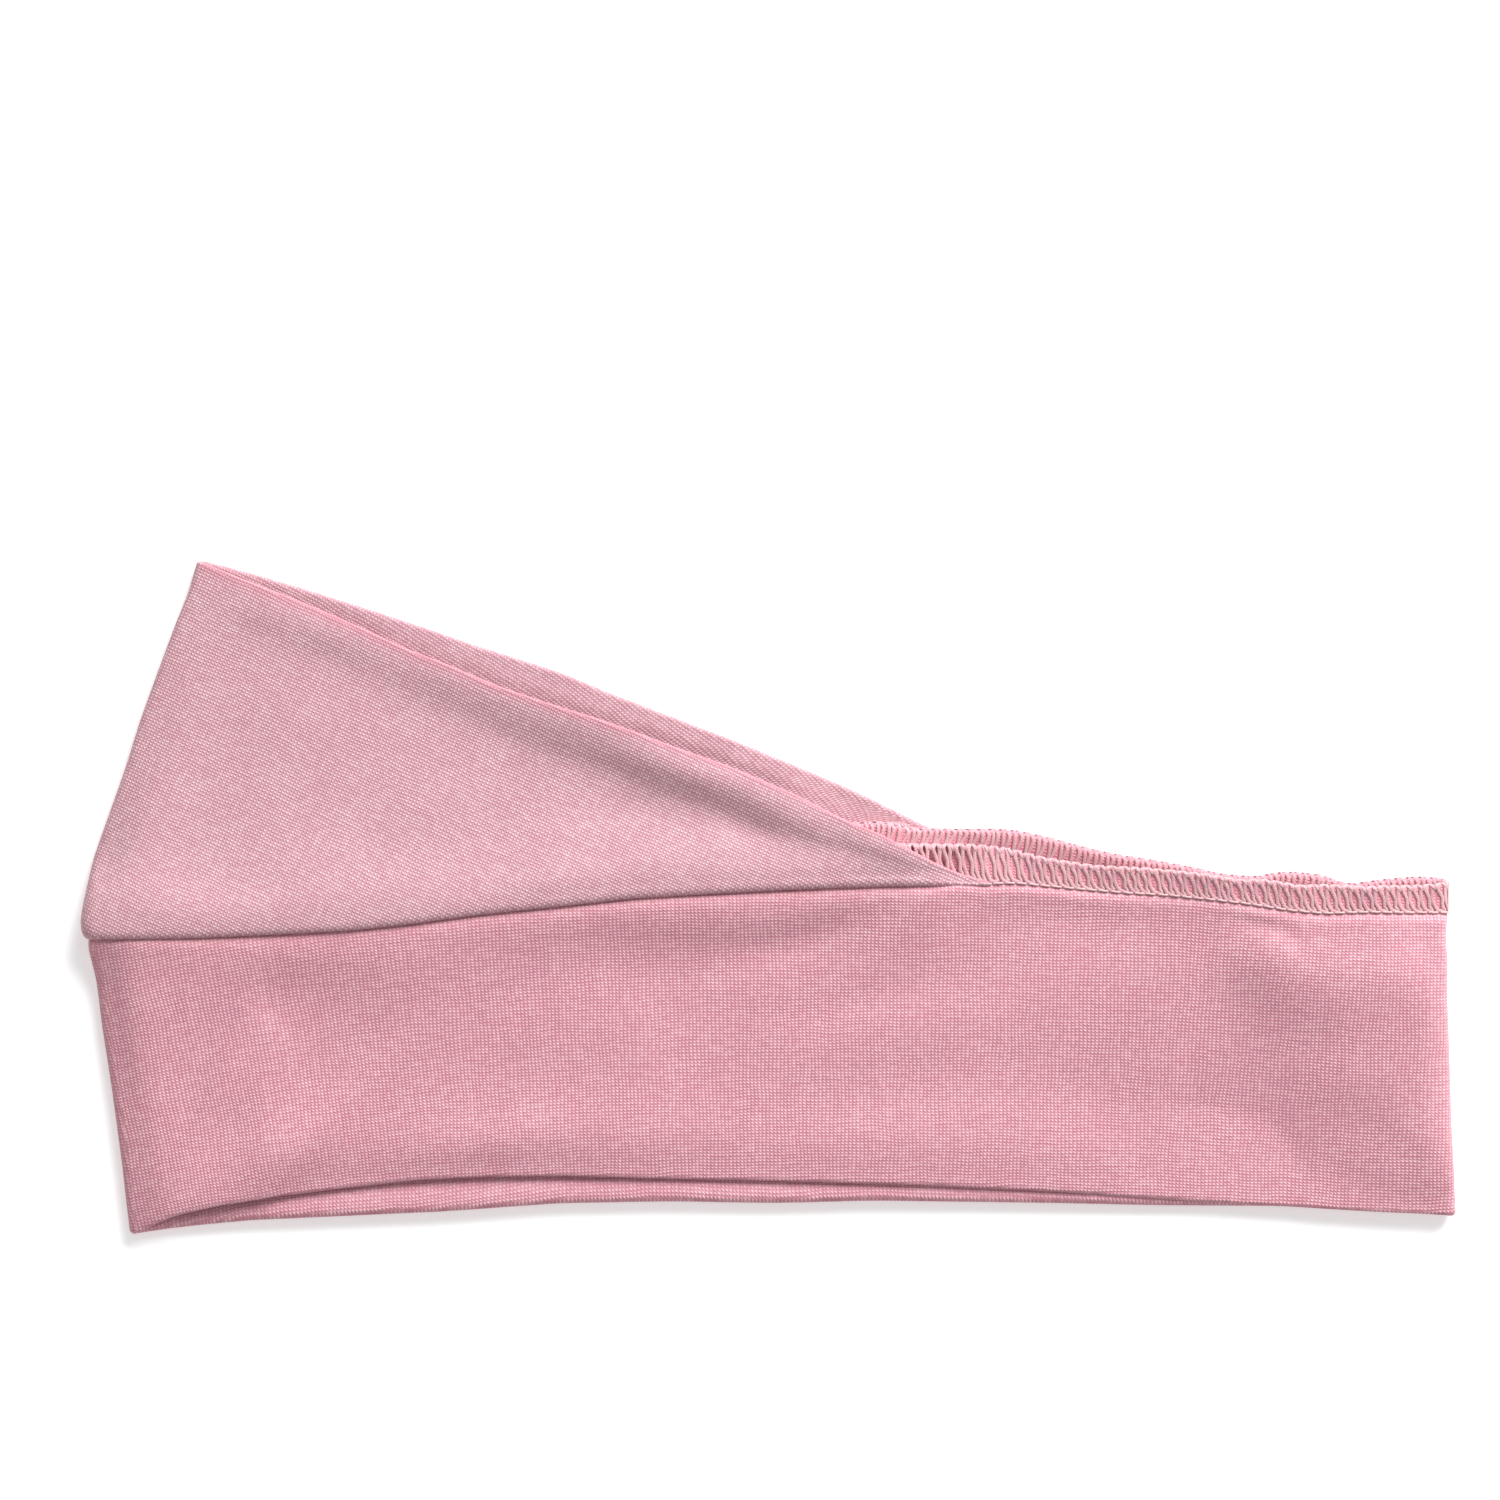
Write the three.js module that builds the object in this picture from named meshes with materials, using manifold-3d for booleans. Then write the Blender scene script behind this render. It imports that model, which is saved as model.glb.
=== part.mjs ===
// A wide knitted stretch headband, lying flat, built as the pieces it is cut and sewn from.
// Millimetres, +Z up. X runs along the flattened band, Y from its folded lower edge to its upper edge.
// The half with the higher Z is the front half; the half that lies on the surface is the back half.
import * as THREE from "three";
import Module from "manifold-3d";

const wasm = await Module();
wasm.setup();

// ---- driving dimensions -------------------------------------------------------------------------
const HEIGHT = 7.6; // the flattened ring, from the surface it lies on to its top
const WALL = 1.2; // two plies of cloth
const HALF = HEIGHT / 2;
const ARC_STEPS = 7; // facets round each fold

const STITCH = 2.0; // from one overlock stitch to the next
const SEAM_WIDTH = 5.4; // the sewn allowance, from the needle line to its raw edge
const CORE = 0.5; // thickness of the pressed allowance
const THREAD = 0.25; // thickness of a looper thread
const GAP = 0.3; // between touching pieces
const EXPOSED_DEPTH = 0.85; // depth of the allowance's middle below the outer face, where it is bare
const HIDDEN_DEPTH = 2.3; // and where the upper panel covers it
const FRONT_NOSE = 36.7; // X where the upper panel ends on the front half
const BACK_NOSE = 27.7; // and on the back half

const CLOSING_X = 108.7; // the short seam that closes the strip into a ring
const CLOSING_LOW = -49.5;
const CLOSING_HIGH = -9.0;

// Outlines in plan, as [x, y].
const PANEL_BACK_TOP = [[-130,57.5],[-96.9,57.5],[-87.7,55.1],[-78.6,52.4],[-63.3,47.5],[-49.9,42.9],[-35.4,38.3],[-27.9,35.1],[-17.2,31.0],[-6.4,26.9],[4.5,22.4],[15.3,17.8],[27.7,11.7]];
const PANEL_FRONT_TOP = [[-130,57.3],[-96.9,57.3],[-81.1,50.2],[-66.4,43.1],[-55.2,37.5],[-44.5,32.0],[-35.4,29.8],[-28.6,29.0],[-17.2,25.4],[-6.4,21.0],[4.5,16.8],[12.6,13.4],[18.0,11.4],[23.4,8.6],[28.9,5.4],[36.7,2.4]];
const SEAM_FRONT = [[-115.5,-6.8],[-98.4,-6.6],[-82.3,-5.9],[-71.5,-5.3],[-60.6,-4.2],[-49.9,-2.7],[-35.4,-1.2],[-22.5,0.2],[-11.8,0.8],[-1.0,1.4],[9.9,1.9],[20.7,2.2],[29.9,2.4],[39.7,2.4],[51.1,1.7],[59.7,1.0],[68.4,0.3],[76.5,-0.5],[83.6,-1.4],[90.1,-2.0],[98.5,-2.4],[115.0,-2.4]];
const SEAM_BACK = [[-115.5,-6.8],[-98.4,-5.9],[-82.3,-4.7],[-66.1,-3.2],[-49.9,-1.4],[-33.7,0.7],[-17.6,2.5],[-1.5,4.2],[13.8,5.6],[27.7,6.3],[38.9,6.1],[46.7,4.9],[55.3,2.9],[66.2,0.8],[76.7,-1.0],[85.0,-2.0],[95.1,-2.4],[115.0,-2.4]];
const BOTTOM_FRONT = [[-130,-57.5],[-108.4,-57.5],[-102.3,-54.4],[-93.2,-52.2],[-82.3,-50.7],[-71.5,-49.3],[-60.6,-48.1],[-49.9,-47.5],[-35.4,-47.3],[-16.2,-47.8],[6.2,-48.3],[28.7,-49.0],[49.4,-50.0],[60.2,-50.8],[74.5,-51.7],[86.3,-52.4],[103.1,-53.4],[116.3,-54.1],[130,-54.1]];
const BOTTOM_BACK = [[-130,-57.3],[-108.4,-57.3],[-101.8,-56.3],[-87.7,-54.9],[-76.9,-54.4],[-55.2,-53.4],[-35.4,-52.0],[-16.2,-51.7],[0.6,-52.0],[17.5,-51.7],[39.9,-52.0],[65.0,-52.4],[86.3,-52.5],[103.1,-53.4],[116.3,-54.1],[130,-54.1]];
// Folds at the two ends, as [y, x].
const LEFT_BAND = [[-60,-108.1],[-57.5,-108.4],[-51.7,-109.1],[-45.3,-109.8],[-32.7,-111.5],[-22.0,-113.2],[-13.9,-114.2],[-6.8,-115.5],[10,-115.5]];
const LEFT_PANEL = [[-12,-115.9],[-7.5,-116.3],[-4.1,-116.7],[-0.3,-116.1],[6.6,-114.7],[14.2,-112.0],[21.7,-109.3],[30.3,-106.6],[38.0,-103.8],[46.6,-100.6],[52.0,-98.4],[57.5,-96.9],[62,-95.6]];
const RIGHT = [[-60,116.7],[-54.1,116.7],[-47.3,116.3],[-37.8,115.8],[-28.1,115.5],[-18.6,115.1],[-11.5,115.0],[10,115.0]];

// ---- helpers ------------------------------------------------------------------------------------
const lerpAt = (table, t) => {
  if (t <= table[0][0]) return table[0][1];
  for (let i = 1; i < table.length; i++) {
    if (t <= table[i][0]) {
      const [a, fa] = table[i - 1];
      const [b, fb] = table[i];
      return fa + ((fb - fa) * (t - a)) / (b - a);
    }
  }
  return table[table.length - 1][1];
};
const smooth = (t) => (t <= 0 ? 0 : t >= 1 ? 1 : t * t * (3 - 2 * t));

// A closed body from equal sections; each section is a list of [x, y, z] points in the same turning sense.
function loft(sections, closed) {
  const n = sections[0].length;
  const m = sections.length;
  const verts = sections.flat();
  const tris = [];
  const last = closed ? m : m - 1;
  for (let i = 0; i < last; i++) {
    const a = i * n;
    const b = ((i + 1) % m) * n;
    for (let j = 0; j < n; j++) {
      const k = (j + 1) % n;
      tris.push([a + j, b + j, b + k], [a + j, b + k, a + k]);
    }
  }
  if (!closed) {
    const end = (m - 1) * n;
    for (let j = 1; j < n - 1; j++) tris.push([0, j, j + 1], [end, end + j + 1, end + j]);
  }
  return { verts, tris };
}
function volume({ verts, tris }) {
  let v = 0;
  for (const [i, j, k] of tris) {
    const [a, b, c] = [verts[i], verts[j], verts[k]];
    v += a[0] * (b[1] * c[2] - b[2] * c[1]) - a[1] * (b[0] * c[2] - b[2] * c[0]) + a[2] * (b[0] * c[1] - b[1] * c[0]);
  }
  return v / 6;
}
function facingOut(body) {
  if (volume(body) < 0) body.tris.forEach((t) => t.reverse());
  return body;
}
function solid(body) {
  facingOut(body);
  return new wasm.Manifold(
    new wasm.Mesh({
      numProp: 3,
      vertProperties: new Float32Array(body.verts.flat()),
      triVerts: new Uint32Array(body.tris.flat()),
    })
  );
}
function geometryOf({ verts, tris }) {
  const g = new THREE.BufferGeometry();
  g.setAttribute("position", new THREE.Float32BufferAttribute(verts.flat(), 3));
  g.setIndex(tris.flat());
  g.computeVertexNormals();
  return g;
}
function fromManifold(man) {
  const mesh = man.getMesh();
  const verts = [];
  for (let i = 0; i < mesh.vertProperties.length; i += mesh.numProp) {
    verts.push([mesh.vertProperties[i], mesh.vertProperties[i + 1], mesh.vertProperties[i + 2]]);
  }
  const tris = [];
  for (let i = 0; i < mesh.triVerts.length; i += 3) tris.push([mesh.triVerts[i], mesh.triVerts[i + 1], mesh.triVerts[i + 2]]);
  return geometryOf({ verts, tris });
}

// A vertical prism over a plan outline.
function prism(outline, low, high) {
  const contour = outline.map(([x, y]) => new THREE.Vector2(x, y));
  if (THREE.ShapeUtils.isClockWise(contour)) contour.reverse();
  const faces = THREE.ShapeUtils.triangulateShape(contour, []);
  const n = contour.length;
  const verts = [...contour.map((p) => [p.x, p.y, low]), ...contour.map((p) => [p.x, p.y, high])];
  const tris = [];
  for (const [a, b, c] of faces) tris.push([a, c, b], [a + n, b + n, c + n]);
  for (let i = 0; i < n; i++) {
    const j = (i + 1) % n;
    tris.push([i, j, j + n], [i, j + n, i + n]);
  }
  return solid({ verts, tris });
}

// The section of a flattened ring at one Y, pushed in by depth from its outer face.
function ringSection(y, xLeft, xRight, depth) {
  const r = HALF - depth;
  const points = [];
  for (let i = 0; i <= ARC_STEPS; i++) {
    const a = -Math.PI / 2 + (Math.PI * i) / ARC_STEPS;
    points.push([xRight - HALF + r * Math.cos(a), y, HALF + r * Math.sin(a)]);
  }
  for (let i = 0; i <= ARC_STEPS; i++) {
    const a = Math.PI / 2 + (Math.PI * i) / ARC_STEPS;
    points.push([xLeft + HALF + r * Math.cos(a), y, HALF + r * Math.sin(a)]);
  }
  return points;
}
function ring(left, right, stations) {
  const [from, to] = [stations[0], stations[stations.length - 1]];
  const outer = solid(loft(stations.map((y) => ringSection(y, lerpAt(left, y), lerpAt(right, y), 0)), false));
  const inner = solid(
    loft([from - 5, ...stations, to + 5].map((y) => ringSection(y, lerpAt(left, y), lerpAt(right, y), WALL)), false)
  );
  return outer.subtract(inner);
}
const above = (line, by) => line.map(([x, y]) => [x, y + by]);

// ---- the long seam's route ----------------------------------------------------------------------
// It runs along the front half, round the right fold, back along the back half and round the left fold.
const frontAt = (x) => lerpAt(SEAM_FRONT, x);
const backAt = (x) => lerpAt(SEAM_BACK, x);
const SEAM_RIGHT = 115.0;
const SEAM_LEFT = -115.6;
const RIGHT_CENTRE = SEAM_RIGHT - HALF;
const LEFT_CENTRE = SEAM_LEFT + HALF;
const RAMP = 12;
const depthFront = (x) => EXPOSED_DEPTH + (HIDDEN_DEPTH - EXPOSED_DEPTH) * (1 - smooth((x - FRONT_NOSE - 1) / RAMP));
const depthBack = (x) => EXPOSED_DEPTH + (HIDDEN_DEPTH - EXPOSED_DEPTH) * (1 - smooth((x - BACK_NOSE - 1) / RAMP));
const route = []; // {x, y, z: on the outer face, nx, nz: into the ring, depth}
function addStraight(from, to, step, front) {
  const count = Math.max(1, Math.round(Math.abs(to - from) / step));
  for (let i = 0; i < count; i++) {
    const x = from + ((to - from) * i) / count;
    route.push({ x, y: front ? frontAt(x) : backAt(x), z: front ? HEIGHT : 0, nx: 0, nz: front ? -1 : 1, depth: front ? depthFront(x) : depthBack(x) });
  }
}
function addArc(centre, y, side, fromFront, depth) {
  const steps = 10;
  for (let i = 0; i < steps; i++) {
    const a = fromFront ? Math.PI / 2 - (Math.PI * i) / steps : -Math.PI / 2 + (Math.PI * i) / steps;
    const cx = side * Math.cos(a);
    const sz = Math.sin(a);
    route.push({ x: centre + HALF * cx, y, z: HALF + HALF * sz, nx: -cx, nz: -sz, depth });
  }
}
addStraight(LEFT_CENTRE, RIGHT_CENTRE, 5, true);
addArc(RIGHT_CENTRE, -2.4, 1, true, EXPOSED_DEPTH);
addStraight(RIGHT_CENTRE, LEFT_CENTRE, 5, false);
addArc(LEFT_CENTRE, -6.8, -1, false, HIDDEN_DEPTH);

// A point beside the route: up along Y from the needle line, and depth below the outer face.
const beside = (p, up, depth) => [p.x + p.nx * depth, p.y + up, p.z + p.nz * depth];

// Points at even steps of the route, measured at the thread's own depth.
function evenRoute(offset, step, even) {
  const pts = route.map((p) => beside(p, 0, p.depth + offset));
  const lengths = [0];
  for (let i = 0; i < pts.length; i++) {
    const a = pts[i];
    const b = pts[(i + 1) % pts.length];
    lengths.push(lengths[i] + Math.hypot(b[0] - a[0], b[1] - a[1], b[2] - a[2]));
  }
  const total = lengths[pts.length];
  let count = Math.round(total / step);
  if (even && count % 2) count++;
  const result = [];
  let i = 0;
  for (let k = 0; k < count; k++) {
    const s = (total * k) / count;
    while (lengths[i + 1] < s) i++;
    const t = (s - lengths[i]) / (lengths[i + 1] - lengths[i]);
    const a = route[i];
    const b = route[(i + 1) % route.length];
    const nx = a.nx + (b.nx - a.nx) * t;
    const nz = a.nz + (b.nz - a.nz) * t;
    const len = Math.hypot(nx, nz);
    result.push({
      x: a.x + (b.x - a.x) * t,
      y: a.y + (b.y - a.y) * t,
      z: a.z + (b.z - a.z) * t,
      nx: nx / len,
      nz: nz / len,
      depth: a.depth + (b.depth - a.depth) * t,
    });
  }
  return result;
}

// ---- band_cloth ---------------------------------------------------------------------------------
const bandRing = ring(LEFT_BAND, RIGHT, [-60, -57.5, -45.3, -32.7, -22, -13.9, -6.8, 8]);
const WALL_TOP = -1.2; // the full-thickness wall stops this far below the needle line
const bandFront = prism([...BOTTOM_FRONT, [130, -2.4 + WALL_TOP], ...above([...SEAM_FRONT].reverse(), WALL_TOP), [-130, -6.8 + WALL_TOP]], HALF, 20);
const bandBack = prism([...BOTTOM_BACK, [130, -2.4 + WALL_TOP], ...above([...SEAM_BACK].reverse(), WALL_TOP), [-130, -6.8 + WALL_TOP]], -10, HALF);
const allowance = solid(
  loft(
    route.map((p) => {
      const top = p.depth - CORE / 2;
      const bottom = p.depth + CORE / 2;
      return [
        beside(p, -3.0, 0.5),
        beside(p, -3.0, bottom),
        beside(p, SEAM_WIDTH, bottom),
        beside(p, SEAM_WIDTH, top),
        beside(p, -1.5, top),
        beside(p, -1.5, 0.5),
      ];
    }),
    true
  )
);
// The closing seam's allowance lies flat against the inner face of the back half.
const closingAllowance = solid(
  loft(
    [CLOSING_LOW, CLOSING_HIGH].map((y) => [
      [CLOSING_X - 0.7, y, HIDDEN_DEPTH - CORE / 2], // the inside corner comes first, so that the end caps stay inside the section
      [CLOSING_X - 0.7, y, 0.6],
      [CLOSING_X + 0.9, y, 0.6],
      [CLOSING_X + 0.9, y, HIDDEN_DEPTH + CORE / 2],
      [CLOSING_X - SEAM_WIDTH, y, HIDDEN_DEPTH + CORE / 2],
      [CLOSING_X - SEAM_WIDTH, y, HIDDEN_DEPTH - CORE / 2],
    ]),
    false
  )
);
const bandCloth = bandRing.intersect(bandFront.add(bandBack)).add(allowance).add(closingAllowance);

// ---- upper_panel_cloth --------------------------------------------------------------------------
// Folded double along its top edge, wrapped round the left fold, open towards the right.
const FAR = [[-60, 160], [60, 160]];
const panelRing = ring(LEFT_PANEL, FAR, [-12, -7.5, -4.1, -0.3, 6.6, 14.2, 30.3, 46.6, 57.5, 62]);
const PANEL_LOW = WALL_TOP + GAP;
const upTo = (line, x) => [...line.filter((p) => p[0] < x - 0.5), [x, lerpAt(line, x)]];
const panelFront = prism([[-130, -6.8 + PANEL_LOW], ...above(upTo(SEAM_FRONT, FRONT_NOSE), PANEL_LOW), ...[...PANEL_FRONT_TOP].reverse()], HALF, 20);
const panelBack = prism([[-130, -6.8 + PANEL_LOW], ...above(upTo(SEAM_BACK, BACK_NOSE), PANEL_LOW), ...[...PANEL_BACK_TOP].reverse()], -10, HALF);
const panelCloth = panelRing.intersect(panelFront.add(panelBack));

// ---- threads ------------------------------------------------------------------------------------
// A looper thread zigzags between the needle line and the raw edge: one flat-backed run of thread.
const LOW_TIP = 0.9;
const HIGH_TIP = 4.4;
const TIP = 0.8; // half of the thread's length along its own tip
function looper(side) {
  const face = side * (CORE / 2 + GAP);
  const crest = side * (CORE / 2 + GAP + THREAD);
  const steps = evenRoute((face + crest) / 2, STITCH / 2, true);
  return facingOut(
    loft(
      steps.map((p, i) => {
        const up = i % 2 ? HIGH_TIP : LOW_TIP;
        return [beside(p, up - TIP, p.depth + face), beside(p, up, p.depth + crest), beside(p, up + TIP, p.depth + face)];
      }),
      true
    )
  );
}
function needleLine() {
  const low = -(CORE / 2 + GAP);
  const high = -(CORE / 2 + GAP + THREAD);
  return facingOut(
    loft(
      route.map((p) => [
        beside(p, -0.8, p.depth + low),
        beside(p, -0.8, p.depth + high),
        beside(p, -0.3, p.depth + high),
        beside(p, -0.3, p.depth + low),
      ]),
      true
    )
  );
}
function closingLooper(side) {
  const face = HIDDEN_DEPTH + side * (CORE / 2 + GAP);
  const crest = HIDDEN_DEPTH + side * (CORE / 2 + GAP + THREAD);
  const count = Math.round((CLOSING_HIGH - CLOSING_LOW - 2) / (STITCH / 2));
  const sections = [];
  for (let i = 0; i <= count; i++) {
    const y = CLOSING_LOW + 1 + ((CLOSING_HIGH - CLOSING_LOW - 2) * i) / count;
    const x = CLOSING_X - (i % 2 ? HIGH_TIP : 1.9);
    sections.push([[x - TIP, y, face], [x, y, crest], [x + TIP, y, face]]);
  }
  return facingOut(loft(sections, false));
}
function closingNeedle() {
  const z = HIDDEN_DEPTH + CORE / 2 + GAP;
  return facingOut(
    loft(
      [CLOSING_LOW + 1, CLOSING_HIGH - 1].map((y) => [
        [CLOSING_X - 0.25, y, z],
        [CLOSING_X + 0.25, y, z],
        [CLOSING_X + 0.25, y, z + THREAD],
        [CLOSING_X - 0.25, y, z + THREAD],
      ]),
      false
    )
  );
}

// ---- assembly -----------------------------------------------------------------------------------
const CLOTH = { roughness: 0.95, metalness: 0 };
const THREADS = { roughness: 0.7, metalness: 0 };
const headband = new THREE.Group();
headband.name = "sports_headband";
function piece(name, geometry, colour, look) {
  const mesh = new THREE.Mesh(geometry, new THREE.MeshStandardMaterial({ color: colour, ...look }));
  mesh.name = name;
  headband.add(mesh);
}
piece("band_cloth", fromManifold(bandCloth), 0xe294a6, CLOTH);
piece("upper_panel_cloth", fromManifold(panelCloth), 0xe8a2b4, CLOTH);
piece("seam_needle_thread", geometryOf(needleLine()), 0xf4c4cf, THREADS);
piece("seam_upper_looper_thread", geometryOf(looper(-1)), 0xf2bcc8, THREADS);
piece("seam_lower_looper_thread", geometryOf(looper(1)), 0xf0b8c5, THREADS);
piece("closing_needle_thread", geometryOf(closingNeedle()), 0xf4c4cf, THREADS);
piece("closing_upper_looper_thread", geometryOf(closingLooper(1)), 0xf2bcc8, THREADS);
piece("closing_lower_looper_thread", geometryOf(closingLooper(-1)), 0xf0b8c5, THREADS);

// The origin is under the middle of the whole headband's box.
headband.updateMatrixWorld(true);
const box = new THREE.Box3();
for (const mesh of headband.children) {
  mesh.geometry.computeBoundingBox();
  box.union(mesh.geometry.boundingBox);
}
headband.position.set(-(box.min.x + box.max.x) / 2, -(box.min.y + box.max.y) / 2, -box.min.z);

export default headband;
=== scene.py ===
"""A knitted stretch headband lying flat: two folded pieces of double-knit cloth joined by an overlocked seam.

Lengths are worked out in millimetres in the headband's plan (X along the band, Y up the picture, Z up from the surface)
and are placed on the CAD model's box at the end.
"""
import math

import bpy
import numpy as np
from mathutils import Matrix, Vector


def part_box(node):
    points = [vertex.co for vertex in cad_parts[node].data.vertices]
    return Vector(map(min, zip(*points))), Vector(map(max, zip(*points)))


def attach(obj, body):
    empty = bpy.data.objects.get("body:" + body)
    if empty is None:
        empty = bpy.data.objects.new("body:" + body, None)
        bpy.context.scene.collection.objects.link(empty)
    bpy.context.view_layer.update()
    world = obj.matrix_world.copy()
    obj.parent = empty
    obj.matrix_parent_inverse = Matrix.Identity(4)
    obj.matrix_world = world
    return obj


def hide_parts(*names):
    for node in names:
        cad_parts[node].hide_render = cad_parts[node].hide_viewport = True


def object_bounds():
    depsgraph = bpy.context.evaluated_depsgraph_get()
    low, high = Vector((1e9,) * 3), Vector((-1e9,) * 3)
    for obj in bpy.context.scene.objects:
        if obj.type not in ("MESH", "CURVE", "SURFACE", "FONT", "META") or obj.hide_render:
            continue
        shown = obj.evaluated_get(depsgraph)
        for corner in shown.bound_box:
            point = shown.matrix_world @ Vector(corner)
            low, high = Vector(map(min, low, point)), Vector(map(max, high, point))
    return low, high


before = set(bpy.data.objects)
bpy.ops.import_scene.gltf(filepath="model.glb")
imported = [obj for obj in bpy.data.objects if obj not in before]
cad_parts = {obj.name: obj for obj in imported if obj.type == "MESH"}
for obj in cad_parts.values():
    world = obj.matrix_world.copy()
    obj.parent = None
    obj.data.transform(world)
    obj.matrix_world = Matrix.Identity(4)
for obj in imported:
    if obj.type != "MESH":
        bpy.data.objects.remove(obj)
cad_low, cad_high = [list(map(float, c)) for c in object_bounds()]

# ------------------------------------------------------------------------------------------------
# Plan outlines, [x, y] in mm
# ------------------------------------------------------------------------------------------------
PLY = 0.42  # one ply of cloth
WALL = 0.8  # between the middles of the two plies of a wall
WIDE = 5.2  # the seam allowance

CREASE_F = [[-115.5,-6.8],[-98.4,-6.6],[-82.3,-5.9],[-71.5,-5.3],[-60.6,-4.2],[-49.9,-2.7],[-35.4,-1.2],[-22.5,0.2],[-11.8,0.8],[-1.0,1.4],[9.9,1.9],[20.7,2.2],[29.9,2.2],[36.5,2.3],[39.7,2.6],[43.1,2.5],[51.1,1.7],[59.7,1.0],[68.4,0.5],[76.5,-0.3],[82,-1.0],[87.7,-1.9],[93.9,-2.5],[101,-2.2],[108,-2.4],[115.0,-2.4]]
SERGE_F = [[23,9.0],[34,8.9],[40.2,8.3],[45.8,6.8],[50,6.1],[55.3,5.3],[64,4.9],[72.6,4.1],[79.9,2.9],[83.6,3.05],[87,2.5],[89.9,1.9],[92.6,2.2],[97.5,2.0],[100.9,1.7],[103.6,2.0],[107.9,1.9],[113,2.2],[115,2.6]]
SERGE_B = [[20,11.2],[27.7,11.6],[32.8,11.5],[38.9,11.5],[42.4,11.2],[46.7,10.3],[51,9.15],[55.3,8.0],[59.7,7.1],[66.2,6.1],[72.6,4.9],[76.7,3.9],[82.9,3.4],[86.3,4.1],[88.9,4.2],[92.3,3.9],[94.6,3.6],[96.8,2.5],[99.2,2.2],[102.6,2.7],[106.1,3.05],[110.6,3.4],[115,3.05]]
CREASE_B = [[-115.5,-6.8],[-98.4,-5.9],[-82.3,-4.7],[-66.1,-3.2],[-49.9,-1.4],[-33.7,0.7],[-17.6,2.5],[-1.5,4.2],[13.8,5.7],[27.7,6.4],[38.9,6.2],[46.7,5.1],[55.3,2.9],[66.2,0.9],[76.7,-0.9],[86.0,-1.3],[95.1,-2.0],[105,-2.3],[115.0,-2.4]]
BOTTOM_F = [[-108.4,-57.6],[-105.5,-56.2],[-102.3,-54.4],[-93.2,-52.2],[-82.3,-50.7],[-71.5,-49.3],[-60.6,-48.1],[-49.9,-47.5],[-35.4,-47.3],[-16.2,-47.8],[6.2,-48.3],[28.7,-49.0],[49.4,-50.0],[60.2,-50.8],[74.5,-51.7],[86.3,-52.4],[103.1,-53.4],[112.6,-53.8],[116.3,-54.1]]
BOTTOM_B = [[-108.4,-57.3],[-101.8,-56.3],[-87.7,-54.9],[-76.9,-54.4],[-55.2,-53.4],[-35.4,-52.0],[-16.2,-51.7],[0.6,-52.0],[17.5,-51.7],[39.9,-52.0],[65.0,-52.4],[86.3,-52.5],[103.1,-53.4],[112.6,-53.9],[116.3,-54.1]]
RIDGE = [[-97.0,57.3],[-90,54.4],[-81.1,51.0],[-73,47.6],[-66.4,44.6],[-62.5,42.7],[-54,39.4],[-45.5,35.8],[-35.4,32.4],[-28.6,30.3],[-21.8,27.9],[-17.2,26.1],[-6.4,22.3],[4.5,17.6],[12.6,13.4],[18.0,11.3],[23.4,8.5],[28.9,5.6],[33.8,3.7],[37.2,3.0]]
TOP_B = [[-97.0,57.5],[-87.7,55.1],[-78.6,52.4],[-63.3,47.5],[-49.9,42.9],[-35.4,38.3],[-27.9,35.1],[-17.2,31.0],[-6.4,26.9],[4.5,22.4],[15.3,17.8],[27.7,11.7],[34,8.9],[39.2,6.9]]
# folds at the two ends, [y, x]
LEFT_P = [[-57.6,-108.4],[-51.7,-109.1],[-45.3,-109.8],[-32.7,-111.5],[-22.0,-113.2],[-13.9,-114.2],[-8.5,-115.4],[-6.8,-115.2],[-4.5,-114.4],[0,-113.9],[5,-113.1]]
LEFT_L = [[-8.5,-115.4],[-6.8,-116.2],[-4.1,-116.7],[-0.3,-116.1],[6.6,-114.7],[14.2,-112.0],[21.7,-109.3],[30.3,-106.6],[38.0,-103.8],[46.6,-100.6],[52.0,-98.4],[57.5,-96.9]]
RIGHT = [[-54.1,116.7],[-52.6,116.6],[-47.3,116.3],[-37.8,115.8],[-28.1,115.5],[-18.6,115.1],[-11.5,115.0],[-6.3,114.6],[-2.5,115.0],[3.1,115.0],[8,115]]
NOSE_F, NOSE_B = 37.2, 39.2


def curve(table, sigma=1.6, step=0.25):
    """A smoothed function through [t, value] pairs, straight beyond its ends."""
    t, v = np.array(table, float).T
    pad = 6 * sigma
    g = np.arange(t[0] - pad, t[-1] + pad + step, step)
    y = np.interp(g, t, v)
    lo, hi = g < t[0], g > t[-1]
    y[lo] = v[0] + (g[lo] - t[0]) * (v[1] - v[0]) / (t[1] - t[0])
    y[hi] = v[-1] + (g[hi] - t[-1]) * (v[-1] - v[-2]) / (t[-1] - t[-2])
    if sigma:
        k = np.exp(-0.5 * (np.arange(-int(3 * sigma / step), int(3 * sigma / step) + 1) * step / sigma) ** 2)
        k /= k.sum()
        half = len(k) // 2
        ext = np.concatenate([y[0] + (np.arange(-half, 0)) * (y[1] - y[0]), y, y[-1] + np.arange(1, half + 1) * (y[-1] - y[-2])])
        y = np.convolve(ext, k, "valid")
    return lambda q: np.interp(q, g, y)


creaseF, creaseB = curve(CREASE_F, 1.2), curve(CREASE_B, 2.0)
sergeF_, sergeB_ = curve(SERGE_F, 0.9), curve(SERGE_B, 0.9)
bottomF, bottomB = curve(BOTTOM_F, 1.6), curve(BOTTOM_B, 2.0)
ridge, topB = curve(RIDGE, 1.2), curve(TOP_B, 1.6)
leftP, leftL, right = curve(LEFT_P, 0.8), curve(LEFT_L, 0.8), curve(RIGHT, 1.2)


def step01(t):
    t = np.clip(t, 0, 1)
    return t * t * (3 - 2 * t)


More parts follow.
